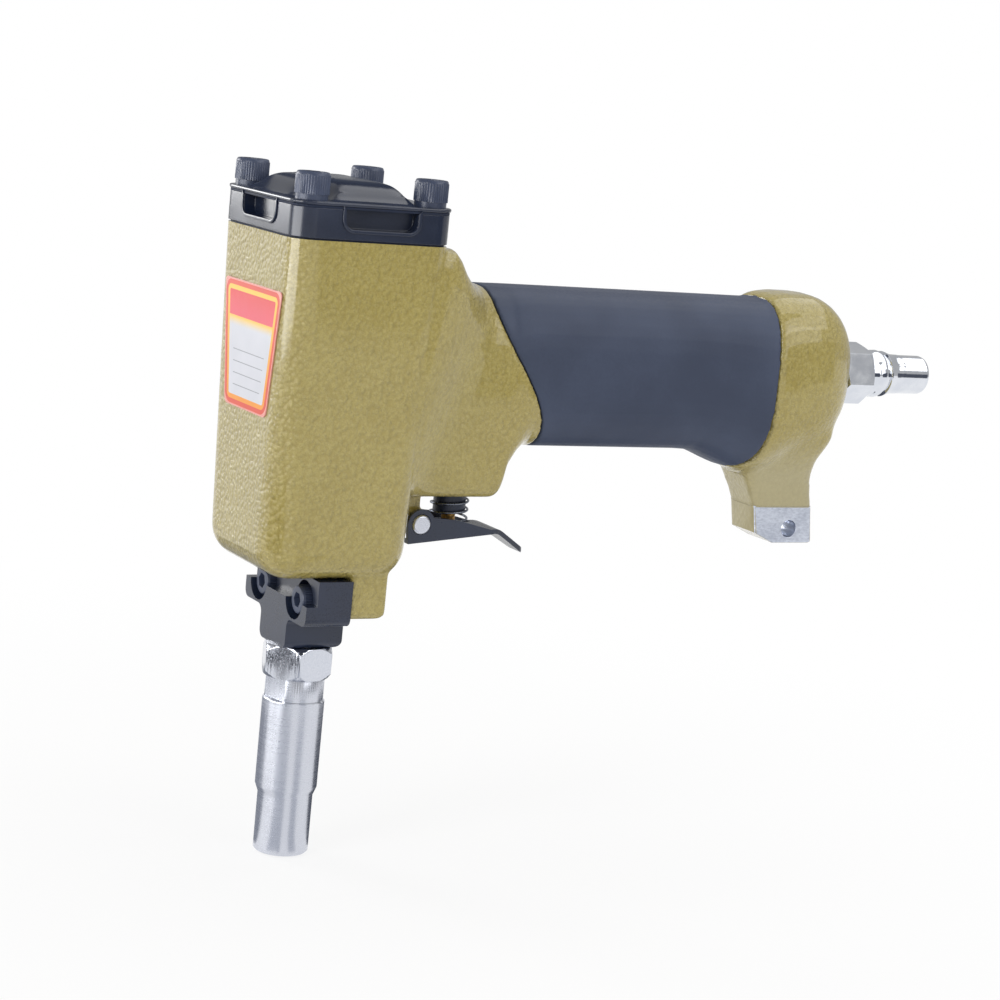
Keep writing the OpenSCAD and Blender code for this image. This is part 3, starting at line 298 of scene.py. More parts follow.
# bare milled metal of the tang's foot
millSet = {"base": paint(222, 227, 238), "dull": paint(184, 190, 204), "stroke": (900.0, 60.0, 1900.0),
           "scuff": 7 * mm, "rough": 0.3, "depth": 0.02 * mm}
milled = Finish("milledAluminium", {"Metallic": 1.0})
strokes = milled.noise(1.0, 4.0, 0.6, milled.stretched(millSet["stroke"]))
scuffs = milled.noise(millSet["scuff"], 3.0, 0.5)
millShare = milled.fade(strokes + 0.6 * scuffs, 0.5, 1.1)
milled.look("Base Color", milled.tint(millShare, millSet["dull"], millSet["base"]))
milled.look("Roughness", milled.fade(strokes, 0.3, 0.7, millSet["rough"], millSet["rough"] + 0.22))
milled.relief(strokes, millSet["depth"], 0.5)

# cast body, with the tang's milled foot left crisp
bodySet = {
    "grain": 0.62 * mm, "rounds": 7, "share": 0.38, "rim": 0.01 * mm, "spare": 1.4 * mm,
    "tangFrom": 120 * mm, "padTop": 104.08 * mm, "lap": 0.4 * mm, "edge": 0.3 * mm, "sharp": 40,
    "padFace": 6.4 * mm, "facing": 0.95, "leaning": 0.6, "hole": (161.7 * mm, 96.9 * mm), "holeReach": 3.2 * mm,
    "calmX": (133 * mm, 185 * mm), "calmZ": ((111, 150), (114, 145), (117, 139), (119, 134)), "calmRounds": 12,
}
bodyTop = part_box("body_casting")[1].z
bm = cadCopy("body_casting")
upper = [v for v in bm.verts if v.co.z > bodyTop - bodySet["rim"]]
bmesh.ops.translate(bm, verts=upper, vec=(0, 0, bodySet["spare"]))  # taller for the skin, cut back below
bodyMesh = cast(bm, "bodyShell", bodySet["grain"], bodySet["rounds"], bodySet["share"])
bm = bmesh.new()
bm.from_mesh(bodyMesh)
footTop = bodySet["padTop"] - bodySet["lap"]
for height, away, first in ((bodyTop, upAxis, -1.0), (footTop, -upAxis, bodySet["tangFrom"])):
    near = [v for v in bm.verts if v.co.x > first]
    edges = list({e for v in near for e in v.link_edges})
    faces = list({f for v in near for f in v.link_faces})
    rim = cutOff(bm, near + edges + faces, (0, 0, height), away)
    bmesh.ops.triangle_fill(bm, edges=rim, use_beauty=True)
firstX, lastX = bodySet["calmX"]
for lowZ, highZ in bodySet["calmZ"]:  # the tang runs into the bulb without a crease
    junction = [v for v in bm.verts if firstX < v.co.x < lastX and lowZ * mm < v.co.z < highZ * mm]
    evenOut(bm, junction, bodySet["calmRounds"])
bmesh.ops.recalc_face_normals(bm, faces=bm.faces[:])
bm.to_mesh(bodyMesh)
bm.free()
settle("bodyShell", bodyMesh, "tool_body", [goldPaint], ["body_casting"], crease=80)

bm = cadCopy("body_casting")
for spot, away in (((0, 0, bodySet["padTop"]), upAxis), ((bodySet["tangFrom"], 0, 0), -endAxis)):
    cutOff(bm, bm.verts[:] + bm.edges[:] + bm.faces[:], spot, away)
softEdges(bm, bodySet["edge"], 2, bodySet["sharp"])
rim = [e for e in bm.edges if e.is_boundary]
bmesh.ops.triangle_fill(bm, edges=rim, use_beauty=True, normal=upAxis)
bmesh.ops.recalc_face_normals(bm, faces=bm.faces[:])
holeX, holeZ = bodySet["hole"]
facing, leaning = bodySet["facing"], bodySet["leaning"]
for face in bm.faces:  # bare metal on the pads, their shoulders and the hole's wall
    spot = face.calc_center_median()
    onShoulder = abs(spot.y) > bodySet["padFace"] and (face.normal.x < -leaning or face.normal.z < -leaning)
    inHole = math.hypot(spot.x - holeX, spot.z - holeZ) < bodySet["holeReach"]
    bare = abs(face.normal.y) > facing or face.normal.z < -facing or onShoulder or inHole
    face.material_index = 1 if bare else 0
settle("tangFoot", meshOf(bm, "tangFoot"), "tool_body", [goldPaint, milled], weighted=True)

# slate rubber of the grip
gripSet = {"base": paint(54, 63, 84), "pale": paint(68, 78, 101), "grain": 0.9 * mm, "bloom": 30 * mm,
           "rough": 0.45, "depth": 0.03 * mm, "skin": 0.6 * mm, "rounds": 4, "share": 0.4}
slateRubber = Finish("slateRubber", {"Specular IOR Level": 0.36})
bloom = slateRubber.noise(gripSet["bloom"], 3.0)
rubberGrain = slateRubber.noise(gripSet["grain"], 4.0, 0.6)
gripShare = slateRubber.fade(bloom + 0.3 * rubberGrain, 0.4, 0.95)
slateRubber.look("Base Color", slateRubber.tint(gripShare, gripSet["base"], gripSet["pale"]))
gripRough = slateRubber.fade(rubberGrain, 0.3, 0.7, gripSet["rough"], gripSet["rough"] + 0.12)
slateRubber.look("Roughness", gripRough)
slateRubber.relief(rubberGrain, gripSet["depth"], 0.5)
gripMesh = cast(cadCopy("grip_sleeve"), "gripRubber", gripSet["skin"], gripSet["rounds"], gripSet["share"])
settle("gripRubber", gripMesh, "tool_body", [slateRubber], ["grip_sleeve"], crease=80)

# black finishes: paint on the cap and its lid, steel of nose and trigger, oxide on the screws
blackSet = {"deep": (paint(24, 33, 53), paint(32, 42, 65)), "steel": (paint(29, 37, 56), paint(37, 47, 70)),
            "oxide": (paint(55, 64, 87), paint(69, 79, 104)),
            "grain": 0.5 * mm, "patch": 14 * mm, "depth": 0.02 * mm}


def blackFinish(name, tones, rough, constants, bite=0.45):
    finish = Finish(name, constants)
    grain = finish.noise(blackSet["grain"], 3.0, 0.6)
    patch = finish.noise(blackSet["patch"], 2.0)
    finish.look("Base Color", finish.tint(finish.fade(patch + 0.4 * grain, 0.45, 1.0), *blackSet[tones]))
    finish.look("Roughness", finish.fade(grain + patch, 0.6, 1.4, rough, 1.4 * rough))
    finish.relief(grain, blackSet["depth"], bite)
    return finish


capBlack = blackFinish("capBlack", "deep", 0.19, {"Specular IOR Level": 0.6}, 0.04)
sheetBlack = blackFinish("sheetBlack", "deep", 0.17, {"Specular IOR Level": 0.6}, 0.03)
steelBlack = blackFinish("steelBlack", "steel", 0.24, {"Coat Weight": 0.2, "Coat Roughness": 0.1}, 0.2)
oxideBlack = blackFinish("oxideBlack", "oxide", 0.28, {}, 0.2)

edgeSet = {"cap": 0.55 * mm, "nose": 0.5 * mm, "trigger": 0.22 * mm}
for name, node, width, finish, slot, body in (
    ("capBlock", "cap_seat", edgeSet["cap"], capBlack, "black_cap", "tool_body"),
    ("noseBlock", "nose_block", edgeSet["nose"], steelBlack, "black_steel", "tool_body"),
    ("triggerLever", "trigger", edgeSet["trigger"], steelBlack, "black_steel", "trigger"),
):
    bm = cadCopy(node)
    softEdges(bm, width)
    settle(name, meshOf(bm, name), body, [finish], [node], weighted=True)

# pressed lid, its dome drawn out softly above the flange
lidSet = {"skin": 0.34 * mm, "rounds": 5, "share": 0.6, "flange": 1.9 * mm, "reach": 21 * mm, "calmRounds": 90}
lidMesh = cast(cadCopy("exhaust_deflector"), "capLid", lidSet["skin"], lidSet["rounds"], lidSet["share"])
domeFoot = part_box("exhaust_deflector")[0].z + lidSet["flange"]
bm = bmesh.new()
bm.from_mesh(lidMesh)
dome = [v for v in bm.verts if v.co.z > domeFoot and max(abs(v.co.x), abs(v.co.y)) < lidSet["reach"]]
evenOut(bm, dome, lidSet["calmRounds"])
bm.to_mesh(lidMesh)
bm.free()
settle("capLid", lidMesh, "tool_body", [sheetBlack], ["exhaust_deflector"], crease=70)

# raised rims round the exhaust slots
rimSet = {"wide": 22 * mm, "tall": 5.4 * mm, "top": 188.8 * mm, "rim": 1.0 * mm, "proud": 0.5 * mm,
          "stand": 0.9, "round": 0.2 * mm, "back": 1.2 * mm, "curve": 8, "sharp": 57}


def slotRim():  # a U of flat bar in the XZ plane, facing -Y
    bm = bmesh.new()
    bmesh.ops.create_grid(bm, x_segments=1, y_segments=1, size=0.5)
    wide, tall = rimSet["wide"] + 2 * rimSet["rim"], rimSet["tall"] + 2 * rimSet["rim"]
    bmesh.ops.scale(bm, verts=bm.verts[:], vec=(wide, tall, 1))
    low = [v for v in bm.verts if v.co.y < 0]
    bmesh.ops.bevel(bm, geom=low, offset=rimSet["tall"] / 2 + rimSet["rim"], offset_type="OFFSET",
                    segments=rimSet["curve"], profile=0.5, affect="VERTICES", material=-1)
    bmesh.ops.inset_region(bm, faces=bm.faces[:], thickness=rimSet["rim"], use_even_offset=True,
                           use_boundary=True)
    spare = [f for f in bm.faces if f.calc_center_median().y > tall / 2 - rimSet["rim"] or len(f.verts) > 4]
    bmesh.ops.delete(bm, geom=spare, context="FACES")
    bmesh.ops.translate(bm, verts=bm.verts[:], vec=(0, rimSet["top"] + rimSet["rim"] - tall / 2, 0))
    upright = Matrix.Rotation(math.radians(90), 3, "X")
    bmesh.ops.rotate(bm, verts=bm.verts[:], cent=(0, 0, 0), matrix=upright)
    bmesh.ops.recalc_face_normals(bm, faces=bm.faces[:])
    bmesh.ops.solidify(bm, geom=bm.faces[:], thickness=-rimSet["proud"])
    outer = min(v.co.y for v in bm.verts)
    bmesh.ops.translate(bm, verts=bm.verts[:], vec=(0, -rimSet["stand"] * rimSet["proud"] - outer, 0))
    bmesh.ops.recalc_face_normals(bm, faces=bm.faces[:])
    roundOff(bm, rimSet["round"], 3, rimSet["sharp"])
    return bm


capLow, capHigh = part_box("cap_seat")
sideX = (capLow.x + capHigh.x) / 2 + rimSet["back"]
whole = bmesh.new()
for degrees, spot in ((0, (sideX, capLow.y, 0)), (90, (capHigh.x, 0, 0)), (180, (sideX, capHigh.y, 0)),
                      (270, (capLow.x, 0, 0))):
    one = slotRim()
    turned = Matrix.Translation(spot) @ Matrix.Rotation(math.radians(degrees), 4, "Z")
    bmesh.ops.transform(one, matrix=turned, verts=one.verts[:])
    addTo(whole, one)
settle("slotRims", meshOf(whole, "slotRims"), "tool_body", [capBlack], weighted=True)

# screws with ribbed heads and a hexagon socket
capScrewSet = {"places": [(x * mm, y * mm) for x in (-17.65, 18.45) for y in (-20.6, 20.6)],
               "seat": 192.1 * mm, "head": 9.6 * mm, "tall": 6.0 * mm, "shank": 6.0 * mm, "key": 5.0 * mm,
               "ribs": 44, "rib": 0.16 * mm}
noseScrewSet = {"places": [(y * mm, 77.5 * mm) for y in (-12.45, 12.45)],
                "seat": 2.5 * mm, "head": 8.5 * mm, "tall": 5.0 * mm, "shank": 5.0 * mm, "key": 4.0 * mm,
                "ribs": 32, "rib": 0.2 * mm}
screwForm = {  # rises as shares of the head's height, widths as shares of the ring below
    "ribbed": 0.84, "ease": 0.04, "crown": ((0.07, 0.975), (0.04, 0.95), (0.01, 0.93)), "land": 0.86,
    "keyEase": (-0.08, 0.97), "keyDeep": -0.5, "turn": 0.5, "turnStep": 0.9,
}


def screw(size, reach):  # head up along Z on its seat at z = 0, shank down to -reach
    bm = bmesh.new()
    half, tall, rib = size["head"] / 2, size["tall"], size["rib"]
    bmesh.ops.create_circle(bm, cap_ends=True, segments=2 * size["ribs"], radius=half)
    bm.verts.ensure_lookup_table()
    foot = bm.faces[:][0]
    for number, vert in enumerate(foot.verts[:]):
        if number % 2:
            vert.co *= 1 - rib / half

    def lift(face, height, shrink=1.0):  # draws the end face up and lets it narrow
        made = bmesh.ops.extrude_discrete_faces(bm, faces=[face])["faces"][0]
        bmesh.ops.translate(bm, verts=made.verts[:], vec=(0, 0, height))
        bmesh.ops.scale(bm, verts=made.verts[:], vec=(shrink, shrink, 1))
        return made

    under = bmesh.ops.duplicate(bm, geom=[foot] + foot.edges[:] + foot.verts[:])["geom"]
    top = lift(lift(foot, screwForm["ribbed"] * tall), screwForm["ease"] * tall)
    for vert in top.verts:  # the ribs end below a plain rounded rim
        flat = Vector((vert.co.x, vert.co.y, 0)).normalized() * (half - rib)
        vert.co.x, vert.co.y = flat.x, flat.y
    for rise, narrow in screwForm["crown"]:
        top = lift(top, rise * tall, narrow)
    top = lift(top, 0.0, screwForm["land"])
    for vert in top.verts:  # the last ring becomes the hexagon of the key
        angle = math.atan2(vert.co.y, vert.co.x)
        reachOut = size["key"] / 2 / math.cos((angle % math.radians(60)) - math.radians(30))
        flat = Vector((math.cos(angle), math.sin(angle))) * reachOut
        vert.co.x, vert.co.y = flat.x, flat.y
    sink, narrow = screwForm["keyEase"]
    lift(lift(top, sink * tall, narrow), screwForm["keyDeep"] * tall)
    base = [f for f in under if isinstance(f, bmesh.types.BMFace)][0]
    base.normal_flip()
    base = lift(base, 0.0, size["shank"] / size["head"])
    lift(base, -reach)
    tighten(bm)
    bmesh.ops.recalc_face_normals(bm, faces=bm.faces[:])
    return bm


def screws(name, size, turnTo, places, reach, node):
    whole = bmesh.new()
    for number, place in enumerate(places):
        one = screw(size, reach)
        spun = Matrix.Rotation(screwForm["turn"] + screwForm["turnStep"] * number, 4, "Z")
        bmesh.ops.transform(one, matrix=Matrix.Translation(place) @ turnTo @ spun, verts=one.verts[:])
        addTo(whole, one)
    settle(name, meshOf(whole, name), "tool_body", [oxideBlack], [node], crease=28)


screws("capScrews", capScrewSet, Matrix.Identity(4),
       [(x, y, capScrewSet["seat"]) for x, y in capScrewSet["places"]],
       capScrewSet["seat"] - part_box("cap_screws")[0].z, "cap_screws")
screws("noseScrews", noseScrewSet, Matrix.Rotation(math.radians(-90), 4, "Y"),
       [(-noseScrewSet["seat"], y, z) for y, z in noseScrewSet["places"]],
       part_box("nose_screws")[1].x + noseScrewSet["seat"], "nose_screws")

# bright metals of the nut, the barrel and the air plug
metalSet = {
    "steel": paint(214, 217, 226), "steelDull": paint(207, 210, 220), "steelRough": (0.24, 0.3),
    "zinc": paint(214, 217, 226), "zincDull": paint(206, 210, 220), "zincRough": (0.12, 0.2),
    "chrome": paint(226, 229, 235), "chromeDull": paint(214, 218, 226), "chromeRough": (0.05, 0.12),
    "rings": (25.0, 25.0, 1500.0), "smears": (260.0, 260.0, 40.0), "frost": 0.5 * mm, "haze": 6 * mm,
    "depth": 0.002 * mm, "edge": 0.2 * mm,
}
turnedSteel = Finish("turnedSteel", {"Metallic": 1.0})
rings = turnedSteel.noise(1.0, 2.0, 0.5, turnedSteel.stretched(metalSet["rings"]))
smears = turnedSteel.noise(1.0, 3.0, 0.6, turnedSteel.stretched(metalSet["smears"]))
steelShare = turnedSteel.fade(0.5 * rings + smears, 0.45, 1.05)
turnedSteel.look("Base Color", turnedSteel.tint(steelShare, metalSet["steelDull"], metalSet["steel"]))
turnedSteel.look("Roughness", turnedSteel.fade(rings + smears, 0.6, 1.4, *metalSet["steelRough"]))
turnedSteel.relief(rings, metalSet["depth"], 0.2)

zincPlate = Finish("zincPlate", {"Metallic": 1.0})
frost = zincPlate.noise(metalSet["frost"], 3.0, 0.6)
zincShare = zincPlate.fade(frost, 0.35, 0.65)
zincPlate.look("Base Color", zincPlate.tint(zincShare, metalSet["zincDull"], metalSet["zinc"]))
zincPlate.look("Roughness", zincPlate.fade(frost, 0.3, 0.7, *metalSet["zincRough"]))
zincPlate.relief(frost, metalSet["depth"], 0.15)

chromePlate = Finish("chromePlate", {"Metallic": 1.0})
haze = chromePlate.noise(metalSet["haze"], 3.0, 0.6)
chromeShare = chromePlate.fade(haze, 0.3, 0.7)
chromePlate.look("Base Color", chromePlate.tint(chromeShare, metalSet["chromeDull"], metalSet["chrome"]))
chromePlate.look("Roughness", chromePlate.fade(haze, 0.3, 0.7, *metalSet["chromeRough"]))

for name, node, width, finish, slot in (  # nut and barrel keep the edges of their solids
    ("lockNut", "lock_nut", 0, zincPlate, "bright_zinc"),
    ("barrelTube", "barrel", 0, turnedSteel, "bright_steel"),
    ("airPlug", "air_plug", metalSet["edge"], chromePlate, "chrome_plug"),
    ("pinDisc", "trigger_pin", metalSet["edge"], turnedSteel, "bright_steel"),
):
    bm = cadCopy(node)
    softEdges(bm, width)
    settle(name, meshOf(bm, name), "tool_body", [finish], [node], weighted=True)

# coil springs, wound as one wire each
wireSet = {"dark": paint(70, 74, 84), "pale": paint(150, 155, 168), "grain": 1.2 * mm, "sides": 12, "perTurn": 32}
wireSteel = Finish("wireSteel", {"Metallic": 1.0})
drawn = wireSteel.noise(wireSet["grain"], 3.0, 0.6)
wireSteel.look("Base Color", wireSteel.tint(drawn, wireSet["dark"], wireSet["pale"]))
wireSteel.look("Roughness", wireSteel.fade(drawn, 0.3, 0.7, 0.2, 0.36))
springSets = {
    "triggerSpring": {"node": "trigger_spring", "centre": 44.7 * mm, "wire": 0.7 * mm, "turns": 4,
                      "joint": "trigger_pull", "held": 107.6 * mm, "keep": 0.66},
    "valveSpring": {"node": "head_valve_spring", "centre": 0.0, "wire": 1.6 * mm, "turns": 3.5,
                    "joint": "head_valve_lift", "held": 185.3 * mm, "keep": 0.67},
}
for name, size in springSets.items():
    low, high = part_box(size["node"])
    bm = bmesh.new()
    half = size["wire"] / 2
    bmesh.ops.create_circle(bm, segments=wireSet["sides"], radius=half)
    upright = Matrix.Rotation(math.radians(90), 3, "X")
    bmesh.ops.rotate(bm, verts=bm.verts[:], cent=(0, 0, 0), matrix=upright)
    mid = (high.y - low.y) / 2 - half
    bmesh.ops.translate(bm, verts=bm.verts[:], vec=(mid, 0, low.z + half))
    steps = round(size["turns"] * wireSet["perTurn"])
    climb = (high.z - low.z - 2 * half) / steps
    bmesh.ops.spin(bm, geom=bm.verts[:] + bm.edges[:], cent=(0, 0, 0), axis=upAxis, dvec=(0, 0, climb),
                   angle=math.tau * size["turns"], steps=steps, use_merge=False, use_duplicate=False)
    bmesh.ops.holes_fill(bm, edges=bm.edges[:], sides=0)
    bmesh.ops.translate(bm, verts=bm.verts[:], vec=(size["centre"], 0, 0))
    bmesh.ops.recalc_face_normals(bm, faces=bm.faces[:])
    coil = meshOf(bm, name)
    spring = settle(name, coil, "tool_body", [wireSteel], [size["node"]], crease=50)
    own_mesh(spring)

# printed film on the front: plain colour fields and ruled lines
labelSet = {
    "top": 164.8 * mm, "foot": 129.4 * mm, "halfTop": 19.5 * mm, "halfFoot": 14.5 * mm, "middle": 0.8 * mm,
    "corner": 3.8 * mm, "outline": 0.45 * mm, "border": 1.8 * mm, "frame": 3.1 * mm, "headFoot": 154.6 * mm,
    "band": 151.6 * mm, "rule": 3.3 * mm, "line": 0.07, "rulesTo": 148 * mm, "rulesIn": (6 * mm, 5 * mm),
}
labelPrint = Finish("labelPrint", {"Specular IOR Level": 0.4})
labelY, labelZ = labelPrint.axes()[1:]
fall = (labelSet["halfTop"] - labelSet["halfFoot"]) / (labelSet["top"] - labelSet["foot"])
fromSide = labelSet["halfTop"] - (labelSet["top"] - labelZ) * fall - abs(labelY + labelSet["middle"])
fromEnd = labelPrint.sum("MINIMUM", labelSet["top"] - labelZ, labelZ - labelSet["foot"])
sideGap = labelPrint.sum("MAXIMUM", labelSet["corner"] - fromSide, 0.0)
endGap = labelPrint.sum("MAXIMUM", labelSet["corner"] - fromEnd, 0.0)
nearEdge = labelSet["corner"] - (sideGap * sideGap + endGap * endGap) ** 0.5  # from the rounded outline
inkNoise = labelPrint.noise(5 * mm, 3.0)
pink = labelPrint.tint(inkNoise, paint(236, 150, 140), paint(244, 176, 166))
salmon = labelPrint.tint(inkNoise, paint(222, 74, 58), paint(232, 92, 66))
upLabel = labelPrint.fade(labelZ, labelSet["foot"], labelSet["top"])
orange = labelPrint.tint(upLabel, paint(246, 158, 52), paint(252, 204, 84))
upHeader = labelPrint.fade(labelZ, labelSet["headFoot"], labelSet["top"])
header = labelPrint.tint(upHeader, paint(236, 92, 108), paint(228, 70, 62))
field = labelPrint.tint(inkNoise, paint(212, 214, 222), paint(222, 223, 230))
rules = labelPrint.sum("FRACT", labelZ / labelSet["rule"], 0.0) < labelSet["line"]
inSide, inEnd = labelSet["rulesIn"]
onRule = rules * (labelZ < labelSet["rulesTo"]) * (fromSide > inSide) * (fromEnd > inEnd)
ruled = labelPrint.tint(onRule, field, paint(150, 152, 162))
upBand = labelPrint.fade(labelZ, labelSet["band"], labelSet["headFoot"])
glowBand = labelPrint.tint(upBand, ruled, paint(250, 206, 96))
centre = labelPrint.tint(labelZ > labelSet["headFoot"], glowBand, header)
framed = labelPrint.tint(nearEdge > labelSet["frame"], orange, centre)
edged = labelPrint.tint(nearEdge > labelSet["border"], salmon, framed)
labelPrint.look("Base Color", labelPrint.tint(nearEdge > labelSet["outline"], pink, edged))
labelPrint.look("Roughness", labelPrint.fade(inkNoise, 0.3, 0.7, 0.34, 0.44))

# the nodes that keep their own mesh
innerSet = {"toolMarks": (60.0, 60.0, 2600.0), "bronzeMarks": (80.0, 80.0, 2400.0), "cloud": 7 * mm}
blackRubber = blackFinish("blackRubber", "deep", 0.6, {"Specular IOR Level": 0.3})
bareAluminium = Finish("bareAluminium", {"Metallic": 1.0})
toolMarks = bareAluminium.noise(1.0, 3.0, 0.6, bareAluminium.stretched(innerSet["toolMarks"]))
bareAluminium.look("Base Color", bareAluminium.tint(toolMarks, paint(176, 180, 188), paint(212, 215, 221)))
bareAluminium.look("Roughness", bareAluminium.fade(toolMarks, 0.3, 0.7, 0.28, 0.42))
bronzeMetal = Finish("bronzeMetal", {"Metallic": 1.0})
bronzeMarks = bronzeMetal.noise(1.0, 3.0, 0.6, bronzeMetal.stretched(innerSet["bronzeMarks"]))
bronzeMetal.look("Base Color", bronzeMetal.tint(bronzeMarks, paint(166, 128, 72), paint(204, 166, 104)))
bronzeMetal.look("Roughness", bronzeMetal.fade(bronzeMarks, 0.3, 0.7, 0.26, 0.4))
paleAcetal = Finish("paleAcetal", {})
acetalCloud = paleAcetal.noise(innerSet["cloud"], 3.0)
paleAcetal.look("Base Color", paleAcetal.tint(acetalCloud, paint(214, 209, 194), paint(228, 224, 211)))
paleAcetal.look("Roughness", paleAcetal.fade(acetalCloud, 0.3, 0.7, 0.38, 0.5))
blackAcetal = blackFinish("blackAcetal", "deep", 0.36, {})
nodeFinishes = {
    "black_rubber": blackRubber, "black_oxide": oxideBlack, "bare_aluminium": bareAluminium,
    "bronze": bronzeMetal, "bright_steel": turnedSteel, "pale_plastic": paleAcetal,
    "black_plastic": blackAcetal, "label_print": labelPrint,
}
for part in frame["record"]["subparts"]:
    kept = frame["nodes"][part["node"]]
    if not kept.hide_render and part["material_slot"] in nodeFinishes:
        kept.data.materials.clear()
        kept.data.materials.append(nodeFinishes[part["material_slot"]].material)
        print(part["node"], "keeps its mesh in", part["material_slot"])

# floor, white surround and soft light
stageSet = {"floor": -0.4 * mm, "middle": 0.05, "reach": 2.4, "sides": 96, "white": 0.93, "level": 0.5,
            "fadeFrom": 0.05, "fadeTo": 0.4, "lift": 0.8}
plainWhite = (1.0, 1.0, 1.0, 1.0)
bm = bmesh.new()
bmesh.ops.create_circle(bm, cap_ends=True, segments=stageSet["sides"], radius=stageSet["reach"])
bmesh.ops.translate(bm, verts=bm.verts[:], vec=(stageSet["middle"], 0, stageSet["floor"]))
floor = bpy.data.objects.new("studioFloor", meshOf(bm, "studioFloor"))
scene.collection.objects.link(floor)
paleFloor = Finish("paleFloor", {"Base Color": (stageSet["white"],) * 3 + (1.0,), "Roughness": 0.9,
                                 "Specular IOR Level": 0.0})
floorX, floorY = paleFloor.axes()[:2]
apart = (floorX * floorX + floorY * floorY) ** 0.5
rays = {name: paleFloor.node("ShaderNodeLightPath", {}, {}, name)
        for name in ("Is Camera Ray", "Is Glossy Ray", "Is Transmission Ray")}
seen = paleFloor.node("ShaderNodeMath", {"operation": "ADD", "use_clamp": True}, {
    0: rays["Is Camera Ray"], 1: rays["Is Glossy Ray"] + rays["Is Transmission Ray"]})
glow = paleFloor.node("ShaderNodeEmission", {}, {"Color": plainWhite, "Strength": 1.0})
whiten = paleFloor.fade(apart, stageSet["fadeFrom"], stageSet["fadeTo"], stageSet["lift"], 1.0)
mixed = paleFloor.node("ShaderNodeMixShader", {}, {
    0: seen * whiten, 1: Wire(paleFloor, paleFloor.shader.outputs[0]), 2: glow})
paleFloor.tree.links.new(mixed.socket, paleFloor.tree.nodes["Material Output"].inputs["Surface"])
floor.data.materials.append(paleFloor.material)

world = bpy.data.worlds.new("whiteStudio")
world.use_nodes = True
scene.world = world
sky = world.node_tree
skyRays = sky.nodes.new("ShaderNodeLightPath")
every = sky.nodes.new("ShaderNodeMath")
every.operation, every.use_clamp = "ADD", True
sky.links.new(skyRays.outputs["Is Camera Ray"], every.inputs[0])
sky.links.new(skyRays.outputs["Is Transmission Ray"], every.inputs[1])
seenSky, litSky = sky.nodes.new("ShaderNodeBackground"), sky.nodes["Background"]
for backdrop, strength in ((seenSky, 1.0), (litSky, stageSet["level"])):
    backdrop.inputs["Color"].default_value = plainWhite
    backdrop.inputs["Strength"].default_value = strength
choose = sky.nodes.new("ShaderNodeMixShader")
sky.links.new(every.outputs[0], choose.inputs[0])
sky.links.new(litSky.outputs[0], choose.inputs[1])
sky.links.new(seenSky.outputs[0], choose.inputs[2])
sky.links.new(choose.outputs[0], sky.nodes["World Output"].inputs["Surface"])

lampSet = {
    "keyBox": {"place": (-0.78, -0.36, 0.5), "size": (0.32, 0.32), "watts": 2.2},
    "leftBox": {"place": (-0.4, 0.72, 0.33), "size": (0.35, 0.35), "watts": 1.8},
    "topBox": {"place": (0.4, 0.03, 0.95), "size": (0.95, 0.95), "watts": 3.6},
    "fillBox": {"place": (0.5, -0.95, 0.5), "size": (0.6, 0.6), "watts": 1.6},
}
aim = Vector((0.07, 0, 0.12))
for name, lamp in lampSet.items():
    lampData = bpy.data.lights.new(name, "AREA")
    lampData.energy, lampData.shape = lamp["watts"], "RECTANGLE"
    lampData.size, lampData.size_y = lamp["size"]
    box = bpy.data.objects.new(name, lampData)
    place = Vector(lamp["place"])
    box.matrix_world = Matrix.Translation(place) @ (aim - place).to_track_quat("-Z", "Y").to_matrix().to_4x4()
    scene.collection.objects.link(box)
print("floor, world and", len(lampSet), "lamps placed")

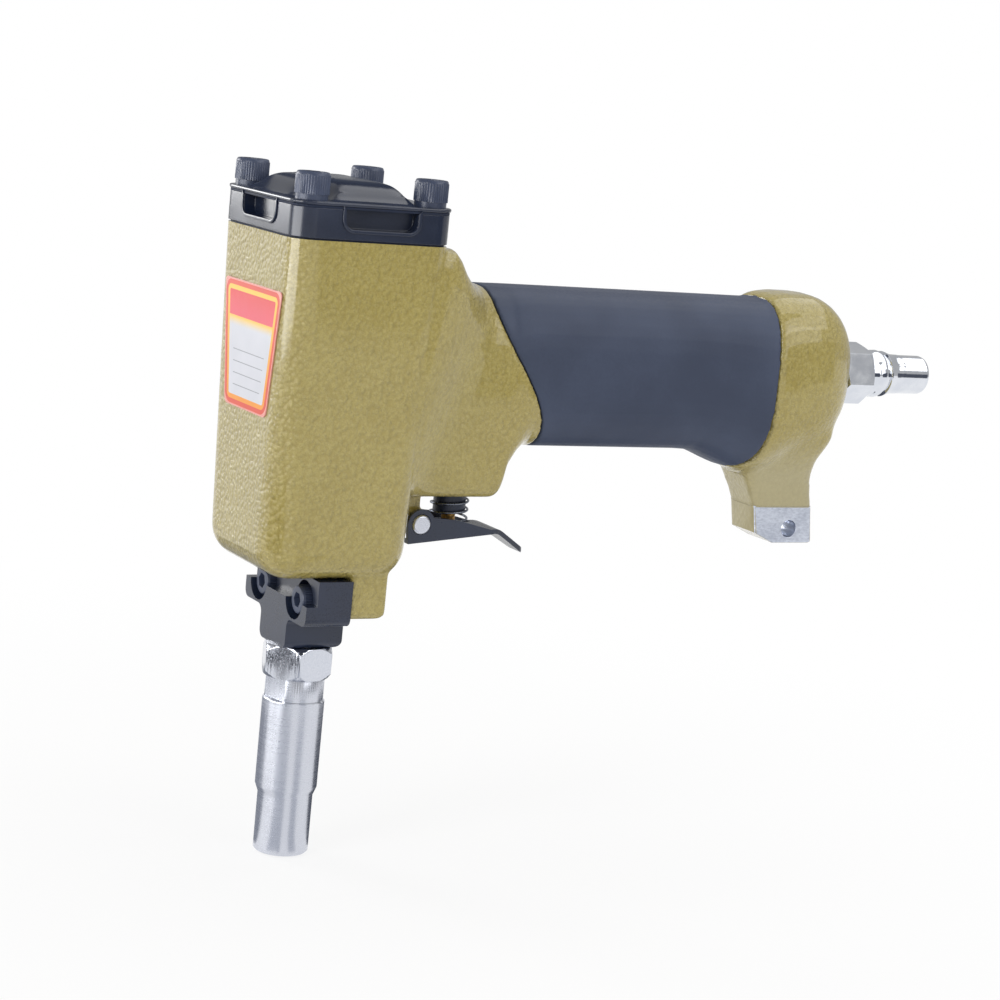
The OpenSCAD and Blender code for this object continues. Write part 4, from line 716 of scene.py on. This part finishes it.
# cards that only glossy surfaces see: two dim ones, three bright screens and toned sectors of floor
cardSet = {
    "tones": {"cardDark": (paint(84, 88, 98), 1.0), "cardGrey": (paint(140, 144, 153), 1.0),
              "cardPale": (paint(192, 195, 202), 1.0), "cardDeep": (paint(44, 48, 58), 1.0),
              "cardWhite": (paint(255, 255, 255), 7.0), "cardGlare": (paint(255, 255, 255), 10.0),
              "cardSoft": (paint(255, 255, 255), 2.2)},
    "cards": {  # tone, place, the point it faces, width, height
        "streakCard": ("cardDark", (0.8, -0.8, 0.12), (0.2, 0, 0.15), 0.9, 0.36),
        "lidCard": ("cardDark", (0.05, 0.1, 0.262), (0, 0, 0.192), 0.09, 0.11),
        "cornerCard": ("cardWhite", (-0.86, -0.03, 0.15), (0, 0, 0.15), 0.9, 0.3),
        "frontCard": ("cardGlare", (-0.38, 0.7, 0.27), (-0.02, 0, 0.14), 0.22, 0.26),
        "sideCard": ("cardSoft", (0.6, -0.76, 0.8), (0.15, 0, 0.15), 0.95, 0.5),
    },
    "wedges": (  # tone, first and last degree, first and last radius
        ("cardGrey", 66, 150, 0.012, 0.225), ("cardDark", -4, 50, 0.012, 0.225),
        ("cardPale", 203, 244, 0.012, 0.225), ("cardPale", 270, 294, 0.012, 0.225),
        ("cardDeep", 168, 226, 0.225, 0.5)),
    "wedgeUp": -0.2 * mm, "wedgeSteps": 12,
}
cardFinishes = {
    name: Finish(name, {"Base Color": (0.0, 0.0, 0.0, 1.0), "Roughness": 1.0, "Specular IOR Level": 0.0,
                        "Emission Color": tone, "Emission Strength": strength})
    for name, (tone, strength) in cardSet["tones"].items()
}


def hang(name, bm, finish):  # a card for glossy rays alone
    card = bpy.data.objects.new(name, meshOf(bm, name))
    card.data.materials.append(finish.material)
    card.visible_camera = card.visible_diffuse = card.visible_shadow = card.visible_transmission = False
    scene.collection.objects.link(card)


for name, (tone, place, facedAt, wide, tall) in cardSet["cards"].items():
    bm = bmesh.new()
    bmesh.ops.create_grid(bm, x_segments=1, y_segments=1, size=0.5)
    place = Vector(place)
    facing = (Vector(facedAt) - place).to_track_quat("Z", "Y").to_matrix().to_4x4()
    hung = Matrix.Translation(place) @ facing @ Matrix.Diagonal((wide, tall, 1, 1))
    bmesh.ops.transform(bm, matrix=hung, verts=bm.verts[:])
    hang(name, bm, cardFinishes[tone])
for number, (tone, first, last, inner, outer) in enumerate(cardSet["wedges"]):  # mirrored by the barrel
    bm = bmesh.new()
    start = bm.verts.new((inner, 0, cardSet["wedgeUp"]))
    end = bm.verts.new((outer, 0, cardSet["wedgeUp"]))
    bm.edges.new((start, end))
    begin = Matrix.Rotation(math.radians(first), 3, "Z")
    bmesh.ops.rotate(bm, verts=bm.verts[:], cent=(0, 0, 0), matrix=begin)
    bmesh.ops.spin(bm, geom=bm.verts[:] + bm.edges[:], cent=(0, 0, 0), axis=upAxis,
                   angle=math.radians(last - first), steps=cardSet["wedgeSteps"], use_merge=False,
                   use_duplicate=False)
    hang("barrelWedge%d" % number, bm, cardFinishes[tone])

scene.view_settings.view_transform = "Standard"
print("scene ready")
